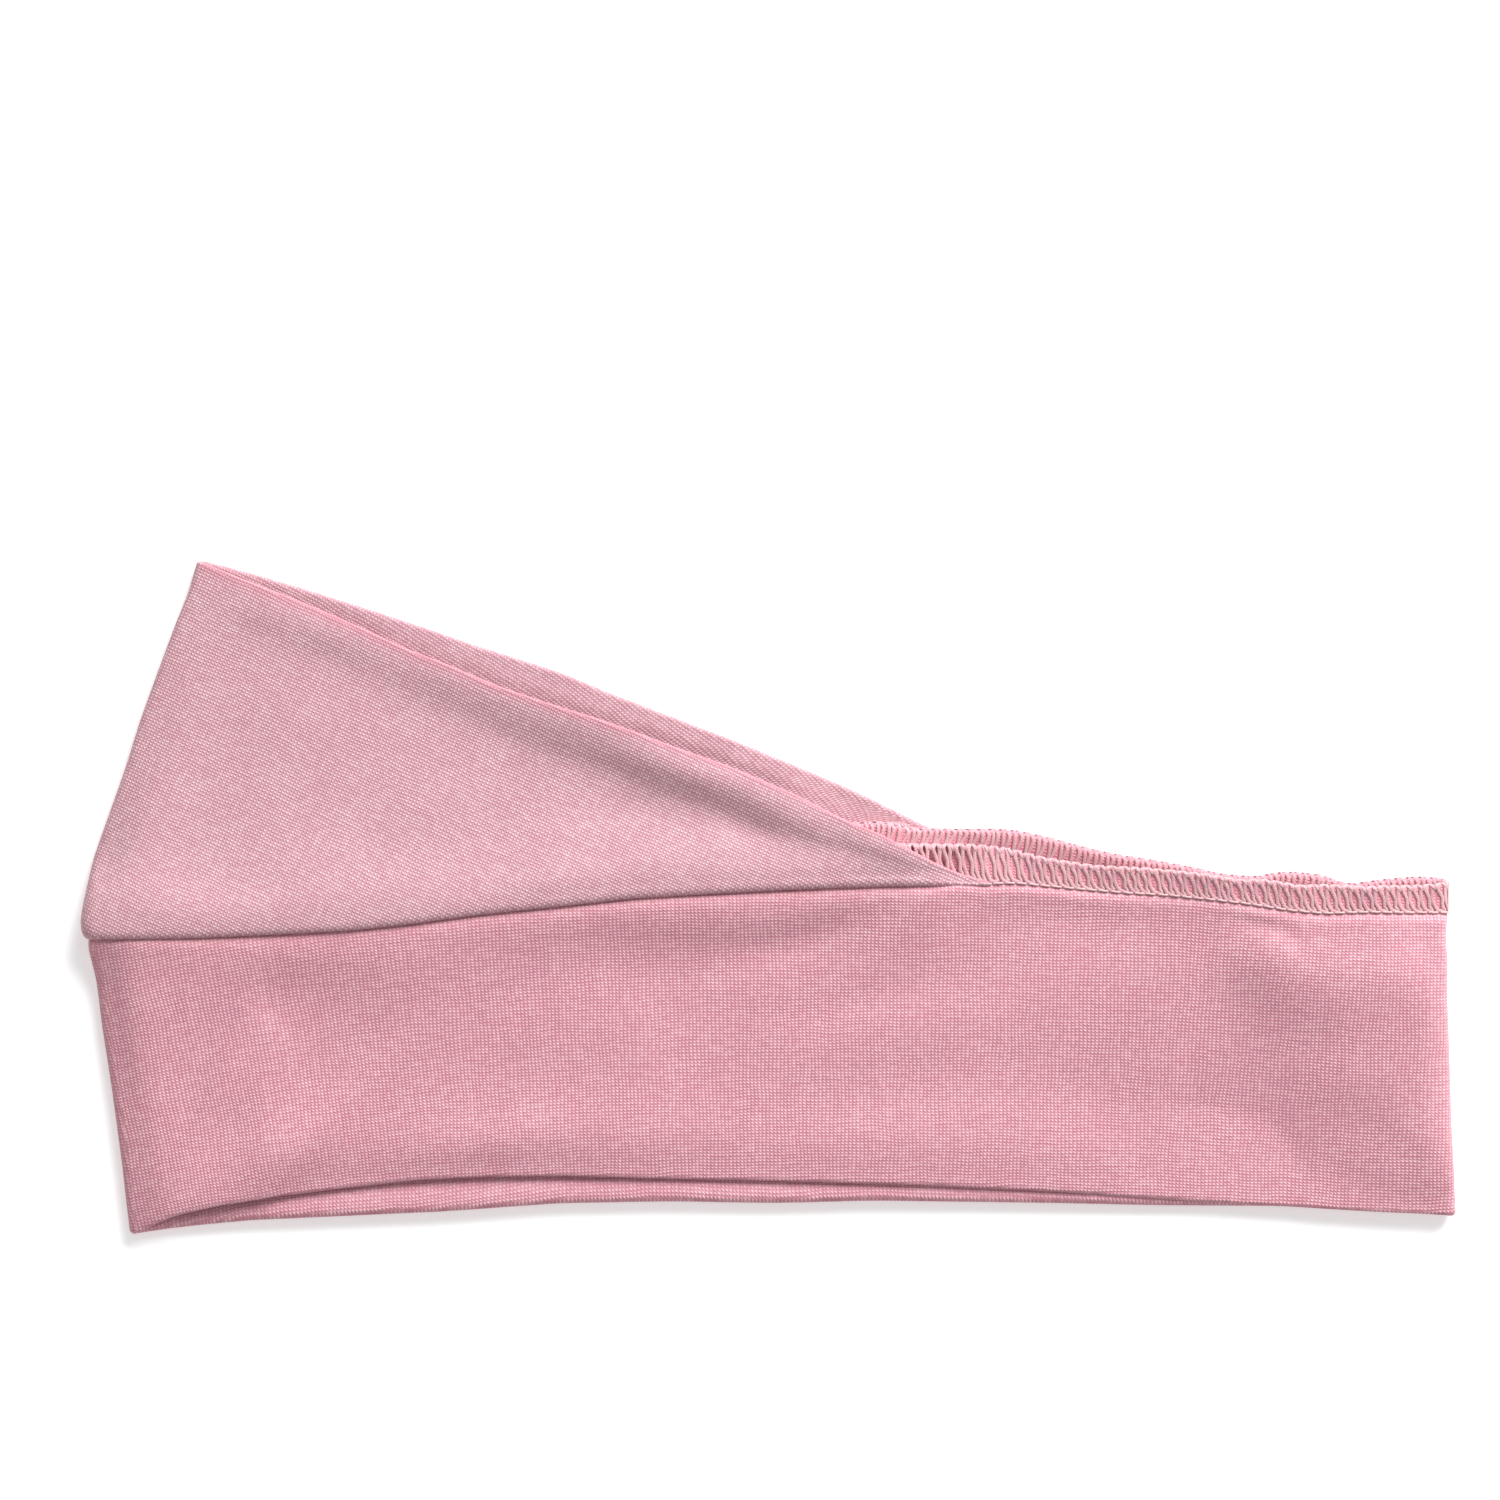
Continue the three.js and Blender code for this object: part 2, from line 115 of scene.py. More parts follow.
def deltaF(x):
    """How far the needle line lies above the crease, under the upper panel's rolled edge."""
    return 1.6 * (1 - step01((x - 31.0) / 6.5))


def deltaB(x):
    return 1.6 * (1 - step01((x - 33.0) / 6.0))


def coverF(x):
    """1 where the upper panel covers the seam on the front half, 0 past its nose."""
    return 1 - step01((x - 26.0) / 11.0)


def coverB(x):
    return 1 - step01((x - 29.0) / 10.0)


def seamF(x):
    return creaseF(x) + deltaF(x)


def seamB(x):
    return creaseB(x) + deltaB(x)


def sergeF(x):
    """The raw edge of the allowance, in plan."""
    k = step01((x - 16) / 8)
    return (seamF(x) + WIDE) * (1 - k) + sergeF_(x) * k


def sergeB(x):
    k = step01((x - 18) / 8)
    return (seamB(x) + WIDE) * (1 - k) + sergeB_(x) * k


def fold(x, y, a, b, width, amp, ends=6.0, skew=0.0):
    """A soft ridge (or valley, with a negative amp) along the line from a to b; width is its half width, skew leans it to one side."""
    a, b = np.array(a, float), np.array(b, float)
    d = b - a
    length = math.hypot(*d)
    d /= length
    along = (x - a[0]) * d[0] + (y - a[1]) * d[1]
    across = -(x - a[0]) * d[1] + (y - a[1]) * d[0]
    window = step01((along + ends) / ends) * step01((length + ends - along) / ends)
    w = width * (1 + skew * np.tanh(across / width))
    return amp * window * np.exp(-((across / w) ** 2))


def blob(x, y, cx, cy, rx, ry, amp, turn=0.0):
    c, s = math.cos(math.radians(turn)), math.sin(math.radians(turn))
    u, v = (x - cx) * c + (y - cy) * s, -(x - cx) * s + (y - cy) * c
    return amp * np.exp(-((u / rx) ** 2) - (v / ry) ** 2)


def ripple(x, y, seed, amp, size):
    """Smooth repeatable unevenness, from a few crossed waves."""
    r = np.random.RandomState(seed)
    z = 0
    for _ in range(7):
        a = r.uniform(0, 2 * math.pi)
        k = 2 * math.pi / (size * r.uniform(0.7, 1.8))
        z = z + np.sin(k * (x * math.cos(a) + y * math.sin(a)) + r.uniform(0, 6.28)) * r.uniform(0.4, 1)
    return amp * z / 3.5


# ------------------------------------------------------------------------------------------------
# Heights of the outer plies, mm above the surface
# ------------------------------------------------------------------------------------------------
STACK = 2.1  # how far the band's outer ply lies below the panel's outer face where both are sewn
TOP = 5.95  # the panel's outer face, over the seam

# Soft folds in the cloth: [x, y, half length, half width, direction in degrees, height].
PANEL_FOLDS = [
    [-14, 21, 20, 3.4, -15, 1.06], [20, 9, 20, 3.4, -15, 1.37], [-47, 22, 20, 8, -15, -1.18], [-88, 2, 20, 8, 0, 1.35], [-79, 46, 13, 3.4, -15, 0.91],
    [-4, 0, 20, 3.4, 0, -0.97], [-108, 14, 20, 5.5, 90, 0.7], [-96, -4, 13, 5.5, -15, 1.21], [-84, 10, 20, 8, -15, 0.61], [-70, 34, 20, 3.4, -15, -0.3],
    [-42, -3, 13, 3.4, 15, -0.96], [-24, 30, 13, 5.5, -15, 0.82], [-116, -3, 20, 2.2, 75, -1.03], [-4, 12, 5, 2.2, -15, -0.43], [12, 11, 5, 2.2, -30, -0.53],
    [-20, 15, 13, 3.4, 0, -0.46], [-65, 0, 20, 5.5, 15, 0.67], [-84, 52, 8, 3.4, 60, 0.79], [-86, -2, 8, 3.4, 0, 0.4], [-68, 40, 20, 2.2, -15, 0.2],
    [-65, 38, 20, 8, 60, -0.86], [-34, 2, 20, 3.4, 15, 0.4], [15, 2, 13, 2.2, 0, -0.53], [-46, 12, 20, 5.5, 45, -0.55],
]
BAND_FOLDS = [
    [-8, -12, 20, 5.5, 0, -1.19], [87, -44, 20, 5.5, -15, -0.74], [96, -19, 20, 8, -60, 1.4], [31, -12, 20, 8, 0, -1.02], [100, -8, 20, 8, -30, 1.13],
    [82, -50, 20, 5.5, 0, -0.9], [-87, -37, 20, 8, -75, 0.99], [8, -6, 13, 3.4, 15, -0.77], [-55, -46, 20, 5.5, 15, 1.35], [-110, -6, 13, 2.2, 0, 1.09],
    [52, 4, 20, 5.5, 0, 1.18], [-36, -12, 20, 8, 15, -0.89], [-102, -40, 20, 8, -75, 0.79], [94, 0, 20, 5.5, -15, 1.27], [85, -14, 20, 8, -75, 0.8],
    [108, -22, 20, 8, 90, 1.13], [-78, -14, 20, 8, 30, -1.47], [72, -44, 20, 8, 30, -0.79], [-74, -6, 13, 3.4, 0, -0.8], [96, -31, 8, 5.5, -15, 0.56],
    [-76, -39, 20, 3.4, 45, 0.65], [-114, -17, 13, 3.4, 90, -1.09], [-2, -19, 20, 3.4, 0, -0.29], [96, -6, 20, 8, 30, 1.07], [-32, -50, 20, 8, 15, 1.08],
    [58, -35, 20, 8, -15, -0.53], [-70, -20, 20, 8, 60, -0.73], [-3, -8, 20, 3.4, 0, -0.45], [82, -52, 20, 8, 75, -0.91], [16, -34, 20, 5.5, 15, -0.44],
    [-14, -20, 13, 8, -30, -0.53], [-84, -48, 20, 8, 45, 0.98], [18, -17, 13, 3.4, 15, -0.45], [108, -44, 8, 3.4, -30, -0.36],
    [-93.5, -33, 13, 1.9, 68, 0.4], [-89, -39, 6, 3, 68, -0.4], [79, -17, 7, 6, 35, -0.5], [88, -8, 8, 5, 30, 0.48], [99, -10, 9, 7, 0, 0.3], [94, -25, 7, 7, 35, -0.35],
    # the pinch below the seam near the right end, the kink on the left
    [83, -4.6, 5.5, 1.3, -14, -0.45], [88.5, -7.0, 3.2, 1.2, -48, -0.4], [-86, -22, 5, 2.6, -45, 0.3], [-94, -40, 6, 2.0, 62, -0.3],
]
RELIEF = 0.8


def relief(x, y, folds):
    z = 0
    for cx, cy, rx, ry, turn, height in folds:
        z = z + blob(x, y, cx, cy, rx, ry, height, turn)
    return z


def panel_shape(x, y):
    h, d = y - creaseF(x), ridge(x) - y  # above the crease, below the ridge
    span = np.clip((ridge(x) - creaseF(x)) / 14, 0, 1)
    deep = np.minimum(9.0, 0.5 * (ridge(x) - creaseF(x)))
    valley = np.exp(-(((d - deep) / np.where(d < deep, 0.37 * deep, 8.0)) ** 2))
    z = (0.8 * np.exp(-((d / (0.42 * deep)) ** 2)) * np.interp(x, [-92, -70], [0.3, 1]) - 0.85 * valley * np.interp(x, [-92, -75, 10], [0.3, 1, 1])) * span
    z = z - 1.03 * np.exp(-(((x - leftL(y) - 1) / 5.0) ** 2)) + 1.18 * np.exp(-((h / 9.0) ** 2)) + 1.34 * np.exp(-((d / 16.0) ** 2))
    return z + relief(x, y, PANEL_FOLDS)


def z_panel_front(x, y):
    c = creaseF(x)
    h = y - c
    level = panel_shape(x, c + 2.0)
    z = RELIEF * (panel_shape(x, y) - level) - np.interp(x, [-85, -40, 0, 30], [0.05, 0.06, 0.07, 0.075]) * (h - 2.0)
    z = np.where(z < 0, -3.5 * np.tanh(-z / 3.5), 1.2 * np.tanh(z / 1.2))
    # the left fold lies flat, away from the seam
    low = np.exp(-(((x - leftL(y)) / 4.6) ** 2)) * step01((h - 6.0) / 10.0)
    z = z - (z + TOP - 2.4) * low
    z = z - 0.6 * np.exp(-(((x - leftL(y)) / 3.2) ** 2)) * (1 - step01((h - 6.0) / 10.0))
    # near the nose the panel is short and held down by the seam
    nose = step01((x - 22) / 15)
    z = z * (1 - nose) + (z_exposed(x) + 0.45 - TOP) * nose
    return TOP + z + ripple(x, y, 3, 0.05, 30)


def z_panel_back(x, y):
    d = topB(x) - y
    # the fold that shows past the front's ridge stands up off the table
    lift = np.interp(x, [-97, -90, -80, -60, -45, -30, -5, 4, 12, 20], [0.2, 0.4, 0.8, 1.4, 1.9, 2.5, 2.8, 2.1, 0.8, 0.2])
    lift = lift * step01((x - leftL(y)) / 16)
    # and leans a little away from the front
    lean = np.clip(lift / 1.4, 0, 1)
    deep = np.clip(d, 0, 9)
    z = 0.26 + (lift + (0.1 - 0.03 * deep) * (1 - lean) + (0.035 * (deep - 7) - 0.11) * lean) * (1 - step01((d - 8) / 10))
    # and swells just past the ridge
    z = z + 0.28 * step01((y - ridge(x)) / 2.2) * step01((x + 88) / 25) * step01((14 - x) / 16)
    return z + ripple(x, y, 5, 0.04, 30)


def z_exposed(x):
    """The needle line's height past the panel's nose: the bulk of the closing seam lifts it near the right end."""
    return 4.35 + 0.2 * np.sin(x * 0.21) + 1.9 * step01((x - 62) / 24) - 0.9 * step01((x - 102) / 11)


def z_band_front(x, y):
    c, b = creaseF(x), bottomF(x)
    h, d = c - y, y - b  # below the crease, above the bottom fold
    top = np.interp(x, [50, 80], [1.83, 0.5])
    z = top * np.exp(-(((h - 1.0) / 20.0) ** 2)) + 0.33 * np.exp(-(((x - leftP(y) - 1) / 6.0) ** 2)) + 0.5 * np.exp(-(((right(y) - 1 - x) / 6.0) ** 2))
    z = z + 1.75 * np.exp(-((d / 14.0) ** 2)) + 0.15 * np.exp(-(((h - 2.6) / 3.0) ** 2))
    tilt = np.interp(x, [-80, -40, 0, 45, 80], [0.036, 0.04, 0.048, 0.056, 0.074])
    z = 2.5 + RELIEF * (z + relief(x, y, BAND_FOLDS)) + tilt * (d - 14) + 0.035 * np.clip(x - 72, 0, 34)
    # just below the crease the cloth rolls up against the panel
    k = coverF(x)
    target = (TOP - 0.65) * k + (z_exposed(x) + 0.12) * (1 - k) - 1.0 * np.exp(-(((x - leftP(y)) / 8.0) ** 2))
    here = 2.5 + RELIEF * (top + relief(x, c - 2.0, BAND_FOLDS)) + tilt * (c - 2.0 - b - 14) + 0.035 * np.clip(x - 72, 0, 34) + 0.1
    z = z + (target - here) * np.exp(-(((h - 1.5) / np.interp(x, [60, 80], [11.0, 7.5])) ** 2)) * 0.85
    # the end folds lie flat
    side = np.exp(-(((x - leftP(y)) / 4.2) ** 2)) * (1 - 0.8 * np.exp(-((h / 6.0) ** 2))) + 0.35 * np.exp(-(((right(y) - x) / 2.6) ** 2)) * step01((h - 4.0) / 10.0)
    z = z - (z - 2.55) * np.clip(side, 0, 1)
    z = z - 0.3 * np.exp(-d / 1.4)
    # the bottom fold rests on the back's, except at the left corner
    z = z - np.clip(z - 2.62, 0, 2) * 0.85 * np.exp(-((d / 6.0) ** 2)) * step01((x + 98) / 20)
    return np.maximum(z, 2.35 + 0.1 * np.tanh(z)) + ripple(x, y, 11, 0.05, 36)


def z_band_back(x, y):
    d = y - bottomB(x)
    # the bottom fold swells where it shows past the front's
    shows = bottomF(x) - bottomB(x)
    z = 0.26 + 0.55 * step01((shows - d + 0.3) / 2.6) * np.clip(shows / 6.0, 0, 1) * step01((x + 106) / 24)
    return z + ripple(x, y, 12, 0.04, 40)


# ------------------------------------------------------------------------------------------------
# The band: a strip folded double along its bottom edge and closed into a ring
# ------------------------------------------------------------------------------------------------
DX = 1.0
ARC_P_L, ARC_P_R = 1.3, 1.35  # how wide the band's end folds are, in X


FOLD_PF, FOLD_PB = 0.40, 0.82  # how round the band's bottom folds are, front and back


def arc_l(y):
    """How wide the panel's left fold is: fuller beside the seam, where the layers pile up."""
    return 1.15 + 1.1 * np.exp(-(((y + 4.5) / 6.0) ** 2))


def solve_xy(sigma, top, bottom, w, left, rightx):
    """Plan positions at share w from top(x) to bottom(x), and share sigma between the end folds."""
    x = -112 + 227 * sigma
    for _ in range(8):
        y = top(x) * (1 - w) + bottom(x) * w
        x = left(y) + (rightx(y) - left(y)) * sigma
    return x, top(x) * (1 - w) + bottom(x) * w


def arc(front, back, front2, back2, bulge, count):
    """Points round an end fold, from the front point to the back point, leaving each half in its own direction (front2 and back2 are the points before)."""
    def out(p, q):
        d = p - q
        d[:, 2] = np.clip(d[:, 2], -1.2 * np.abs(d[:, 0]), 1.2 * np.abs(d[:, 0]))
        d[:, 1] *= 0.5
        return d / np.linalg.norm(d, axis=1, keepdims=True)

    reach = np.broadcast_to(bulge, (len(front),))[:, None] / 0.75
    p1, p2 = front + out(front, front2) * reach, back + out(back, back2) * reach
    rows = []
    for k in range(1, count):
        t = k / count
        rows.append((1 - t) ** 3 * front + 3 * (1 - t) ** 2 * t * p1 + 3 * (1 - t) * t**2 * p2 + t**3 * back)
    return rows


def band_wall():
    """The outer ply's middle: W[i, j] with i round the ring and j from the raw edge down to the bottom fold."""
    ups = np.linspace(1, 0, 8)
    face = np.concatenate([[0.006, 0.014, 0.024, 0.036, 0.05], np.linspace(0.065, 0.93, 44), [0.945, 0.958, 0.97, 0.98, 0.99, 1.0]])
    nf = int(228 / DX)
    sig = np.linspace(0, 1, nf)
    lf = lambda y: leftP(y) + ARC_P_L
    rt = lambda y: right(y) - ARC_P_R
    botF = lambda x: bottomF(x) + FOLD_PF + PLY / 2
    botB = lambda x: bottomB(x) + FOLD_PB + PLY / 2
    cols_f, cols_b = [], []
    for up in ups:
        x, y0 = solve_xy(sig, seamF, botF, 0.0, lf, rt)
        top = sergeF(x)
        y = y0 + (top - y0) * up
        rise = np.sqrt(np.clip(WIDE**2 - (top - y0) ** 2, 0.05, None))
        k = coverF(x)
        zs = z_seam_front(x)
        z = zs + up * (rise * 0.2 - 0.1) * (1 - k) + 0.15 * np.sin(x * 0.45) * up * (1 - k)
        cols_f.append(np.stack([x, y, z], 1))
        x, y0 = solve_xy(sig, seamB, botB, 0.0, lf, rt)
        top = sergeB(x)
        y = y0 + (top - y0) * up
        rise = np.sqrt(np.clip(WIDE**2 - (top - y0) ** 2, 0.05, None))
        k = coverB(x)
        zs = z_seam_back(x)
        z = zs + up * (rise * 0.3 + 0.5) * (1 - k)
        cols_b.append(np.stack([x, y, z], 1))
    for w in face:
        x, y = solve_xy(sig, seamF, botF, w, lf, rt)
        k = coverF(x)
        # near the seam the face runs into the sewn stack
        near = step01(1 - (seamF(x) - y) / (1.6 + 1.7 * k))
        z = z_band_front(x, y) * (1 - near) + z_seam_front(x) * near
        cols_f.append(np.stack([x, y, z], 1))
        x, y = solve_xy(sig, seamB, botB, w, lf, rt)
        k = coverB(x)
        near = step01(1 - (seamB(x) - y) / (3.0 + 3.0 * k))
        z = z_band_back(x, y) * (1 - near) + z_seam_back(x) * near
        cols_b.append(np.stack([x, y, z], 1))
    F = np.stack(cols_f, 1)  # nf x J x 3
    B = np.stack(cols_b, 1)
    n_arc = 9
    rows = list(F)
    rows += arc(F[-1], B[-1], F[-4], B[-4], ARC_P_R, n_arc)
    rows += list(B[::-1])
    rows += arc(F[0], B[0], F[3], B[3], ARC_P_L, n_arc)[::-1]
    return np.stack(rows, 0), len(ups), dict(nf=nf, n_arc=n_arc)


def z_seam_front(x):
    k = coverF(x)
    sewn = z_panel_front(x, creaseF(x) + 2.0) - STACK
    return sewn * k + z_exposed(x) * (1 - k)


def z_seam_back(x):
    k = coverB(x)
    return (z_panel_back(x, creaseB(x) + 2.0) + STACK) * k + 0.7 * (1 - k)


def normals(W, closed):
    """Unit normals towards the inside: across the ring direction (i) and the strip direction (j)."""
    if closed:
        ti = np.roll(W, -1, 0) - np.roll(W, 1, 0)
    else:
        ti = np.gradient(W, axis=0)
    tj = np.gradient(W, axis=1)
    n = np.cross(ti, tj)
    return n / np.maximum(np.linalg.norm(n, axis=2, keepdims=True), 1e-9), tj


def folded_sheet(W, inner, closed, r, arcs=7):
    """Doubles W over its last j: the outer ply, the fold, then the inner ply at depth inner[i, j]. Returns the grid of points."""
    N, tj = normals(W, closed)
    t_end = tj[:, -1] / np.linalg.norm(tj[:, -1], axis=1, keepdims=True)
    n_end = N[:, -1]
    r = np.asarray(r)[:, None]
    parts = [W[:, j] for j in range(W.shape[1])]
    for k in range(1, arcs):
        a = math.pi * k / arcs
        parts.append(W[:, -1] + t_end * r * math.sin(a) + n_end * r * (1 - math.cos(a)))
    for j in range(W.shape[1] - 1, -1, -1):
        parts.append(W[:, j] + N[:, j] * inner[:, j : j + 1])
    return np.stack(parts, 1), N


def grid_mesh(name, G, UV, closed, flip=False):
    """A mesh from a grid of points, with a UV map in millimetres along the knit."""
    I, J = G.shape[:2]
    verts = place(G.reshape(-1, 3))
    faces, uvs = [], []
    last = I if closed else I - 1
    wrap = UV.shape[0] > I  # an extra row holds the values past the join
    for i in range(last):
        i2 = (i + 1) % I
        for j in range(J - 1):
            f = [i * J + j, i * J + j + 1, i2 * J + j + 1, i2 * J + j]
            u = [UV[i, j], UV[i, j + 1], UV[i + 1 if wrap else i2, j + 1], UV[i + 1 if wrap else i2, j]]
            if flip:
                f.reverse()
                u.reverse()
            faces.append(f)
            uvs.extend(u)
    me = bpy.data.meshes.new(name)
    me.from_pydata(verts.tolist(), [], faces)
    layer = me.uv_layers.new(name="knit")
    layer.data.foreach_set("uv", np.array(uvs, dtype=np.float32).ravel())
    me.polygons.foreach_set("use_smooth", [True] * len(faces))
    me.update()
    ob = bpy.data.objects.new(name, me)
    bpy.context.scene.collection.objects.link(ob)
    return ob


# the plan's own box, matched to the CAD model's
PLAN_LOW, PLAN_HIGH = np.array([-116.60, -57.45]), np.array([116.46, 57.48])


def place(p):
    """Plan millimetres to the row frame in metres."""
    p = np.array(p, float)
    low, high = np.array(cad_low[:2]), np.array(cad_high[:2])
    out = np.empty_like(p)
    out[..., :2] = (low + high) / 2 + (p[..., :2] - (PLAN_LOW + PLAN_HIGH) / 2) * (high - low) / (PLAN_HIGH - PLAN_LOW)
    out[..., 2] = p[..., 2] / 1000 + cad_low[2]
    return out


def lengths_along(G, axis, closed=False):
    """Cumulative length along an axis of a grid."""
    d = np.linalg.norm(np.diff(G, axis=axis), axis=2)
    c = np.cumsum(d, axis=axis)
    z = np.zeros_like(np.take(c, [0], axis=axis))
    return np.concatenate([z, c], axis=axis)


# grain: the courses' slope over the plan, measured along the front of the band
_gx = np.arange(-125, 125, 0.5)
_slope = np.interp(_gx, [-125, -103, -88, -62, -30, 0, 20, 60, 75, 100, 112, 125], [0.20, 0.20, 0.17, 0.10, 0.04, 0.01, 0.0, -0.02, -0.05, -0.04, -0.01, 0.0])
_rise = np.cumsum(_slope) * 0.5
_rise -= np.interp(0, _gx, _rise)


def knit_band(x, y):
    """Knit coordinates on the front of the band: across the wales and along them."""
    m = np.interp(x, _gx, _slope)
    return x + m * (y + 28.0), y - np.interp(x, _gx, _rise)


BIAS = math.radians(-25.3)


def knit_panel(x, y):
    c, s = math.cos(BIAS), math.sin(BIAS)
    return x * c + y * s, -x * s + y * c


def ring_uv(W, closed, front_rows, knit, total_back_shift=0.0):
    """Knit coordinates for every point of a wall: from the plan on the front rows, then carried on round the folds and over the back."""
    I, J = W.shape[:2]
    rows = I + 1 if closed else I
    UV = np.zeros((rows, J, 2))
    u, v = knit(W[:front_rows, :, 0], W[:front_rows, :, 1])
    UV[:front_rows, :, 0], UV[:front_rows, :, 1] = u, v
    step = np.linalg.norm(W - np.roll(W, 1, 0), axis=2)
    for i in range(front_rows, rows):
        k = i % I
        UV[i, :, 0] = UV[i - 1, :, 0] + step[k]
        UV[i, :, 1] = UV[front_rows - 1, :, 1] * 0 + W[k, :, 1]
    # the back's v joins the front's smoothly over the first rows
    off = UV[front_rows - 1, :, 1] - W[front_rows - 1, :, 1]
    fade = np.clip(1 - (np.arange(rows - front_rows)) / 25.0, 0, 1)[:, None]
    UV[front_rows:, :, 1] += off[None, :] * fade
    return UV


def fold_uv(UV, arcs, r):
    """The same doubling as folded_sheet: the inner ply's v runs on past the fold."""
    parts = [UV[:, j] for j in range(UV.shape[1])]
    end = UV[:, -1]
    sign = np.sign(UV[:, -1, 1] - UV[:, -2, 1])
    for k in range(1, arcs):
        p = end.copy()
        p[:, 1] += sign * r * math.pi * k / arcs
        parts.append(p)
    for j in range(UV.shape[1] - 1, -1, -1):
        p = UV[:, j].copy()
        p[:, 1] = end[:, 1] + sign * r * math.pi + (end[:, 1] - UV[:, j, 1])
        parts.append(p)
    return np.stack(parts, 1)


Wb, N_UP, band_info = band_wall()
nf_b = band_info["nf"]
R_FOLD = 0.4
inner_b = np.full(Wb.shape[:2], WALL)
ups_n = N_UP
inner_b[:, :ups_n] = 0.44
inner_b[:, ups_n : ups_n + 6] = np.linspace(0.44, WALL, 8)[1:7][None, :]
# the bottom fold is rounder on the back half
n_arc = band_info["n_arc"]
ring_r = np.full(len(Wb), FOLD_PB)
ring_r[:nf_b] = FOLD_PF
ring_r[nf_b : nf_b + n_arc - 1] = np.linspace(FOLD_PF, FOLD_PB, n_arc + 1)[1:-1]
ring_r[-(n_arc - 1) :] = np.linspace(FOLD_PB, FOLD_PF, n_arc + 1)[1:-1]
up_from_fold = np.abs(Wb[:, :, 1] - Wb[:, -1:, 1])
inner_b += (2 * ring_r[:, None] - WALL) * np.exp(-((up_from_fold / 3.5) ** 2))
Gb, Nb = folded_sheet(Wb, inner_b, True, ring_r)
UVb = fold_uv(ring_uv(Wb, True, nf_b, knit_band), 7, R_FOLD)
band = grid_mesh("band_cloth_soft", Gb, UVb, True, flip=True)
# painted bounce light: the allowance seen between the looper threads is tinted a brighter, deeper pink, standing in for
# light bounced inside the threads that lifts the shade there
painted_bounce_light = np.zeros(Gb.shape[:2], dtype=np.float32)
painted_bounce_light[:, :ups_n] = painted_bounce_light[:, -ups_n:] = 1
band.data.attributes.new("painted_bounce_light", "FLOAT", "POINT").data.foreach_set("value", painted_bounce_light.ravel())


# ------------------------------------------------------------------------------------------------
# The upper panel: folded double along its top edge, wrapped round the left fold
# ------------------------------------------------------------------------------------------------
DEEP = 1.24  # depth of its allowance's outer ply below its outer face
INSIDE = 1.3  # how far inside the left fold its allowance turns
ROLL = [(1.6, DEEP), (1.15, 1.23), (0.75, 1.17), (0.4, 1.03), (0.14, 0.83), (0.0, 0.6), (0.08, 0.37), (0.32, 0.18), (0.75, 0.05), (1.3, 0.0)]


def fold_r(x, sign):
    """How round the panel's top fold is: fuller on the front, where it rolls over softly."""
    return np.interp(x, [-97, -60, 10, 25, 37], [0.23, 0.23, 0.23, 0.22, 0.2]) if sign > 0 else 0.32 + 0 * x


def drop(x, sign):
    return np.interp(x, [-97, -85, -60, -30, 10, 25, 37], [0.05, 0.1, 0.12, 0.12, 0.12, 0.12, 0.1]) if sign > 0 else 0.1 + 0 * x


def panel_wall():
    ups = np.linspace(1, 0, 6)[:-1]
    face = np.concatenate([np.linspace(0.02, 0.88, 46), [0.905, 0.925, 0.945, 0.96, 0.975, 0.988, 1.0]])
    nf = int(152 / DX)
    # columns are closer together near the nose, where the panel tapers
    s = np.linspace(0, 1, nf)
    s = s * 0.75 + 0.25 * s**1.6
    lf = lambda y: leftL(y) + arc_l(y)

    def half(crease, top, nose, zf, up_y, rest, sign):
        cols = []

        def xs(yfun, inside=0.0):
            x = nose + (-112 - nose) * s
            for _ in range(8):
                y = yfun(x)
                x = nose + (lf(y) + inside - nose) * s
            return x, yfun(x)

        edge = lambda x: top(x) - fold_r(x, sign) - PLY / 2
        tall = lambda x: np.clip(edge(x) - crease(x), 0.25, None)
        k = lambda x: np.clip(tall(x) / 5.0, 0.12, 1)
        # allowance
        for up in ups:
            x, y = xs(lambda x: crease(x) + 1.6 * k(x) + up * np.minimum(WIDE, np.maximum(tall(x) * 0.9 - 1.6 * k(x), 0.3)), INSIDE)
            z = zf(x, crease(x) + 2.0) - sign * DEEP * (0.45 + 0.55 * k(x))
            cols.append(np.stack([x, y, z], 1))
        for dy, d in ROLL:
            x, y = xs(lambda x: crease(x) + dy * k(x), INSIDE * d / DEEP)
            z = zf(x, crease(x) + 2.0) - sign * d * (0.45 + 0.55 * k(x))
            cols.append(np.stack([x, y, z], 1))
        for w in face:
            x, y = xs(lambda x: (crease(x) + 1.3 * k(x)) * (1 - w) + edge(x) * w)
            near = step01(1 - (y - crease(x)) / 3.5)
            z = zf(x, y) * (1 - near) + zf(x, crease(x) + 2.0) * near
            z = z - sign * drop(x, sign) * np.exp(-(((edge(x) - y) / 1.5) ** 2))
            cols.append(np.stack([x, y, z], 1))
        return np.stack(cols, 1)

    F = half(creaseF, ridge, NOSE_F, z_panel_front, None, None, 1)
    B = half(creaseB, topB, NOSE_B, z_panel_back, None, None, -1)
    n_arc = 11
    rows = list(F) + arc(F[-1], B[-1], F[-4], B[-4], arc_l(F[-1][:, 1]), n_arc) + list(B[::-1])
    return np.stack(rows, 0), len(ups), nf


Wl, N_UPL, nf_l = panel_wall()
inner_l = np.full(Wl.shape[:2], WALL)
nr = N_UPL + len(ROLL)
inner_l[:, :nr] = 0.44
inner_l[:, nr - 3 : nr + 8] = np.linspace(0.44, WALL, 11)[None, :]
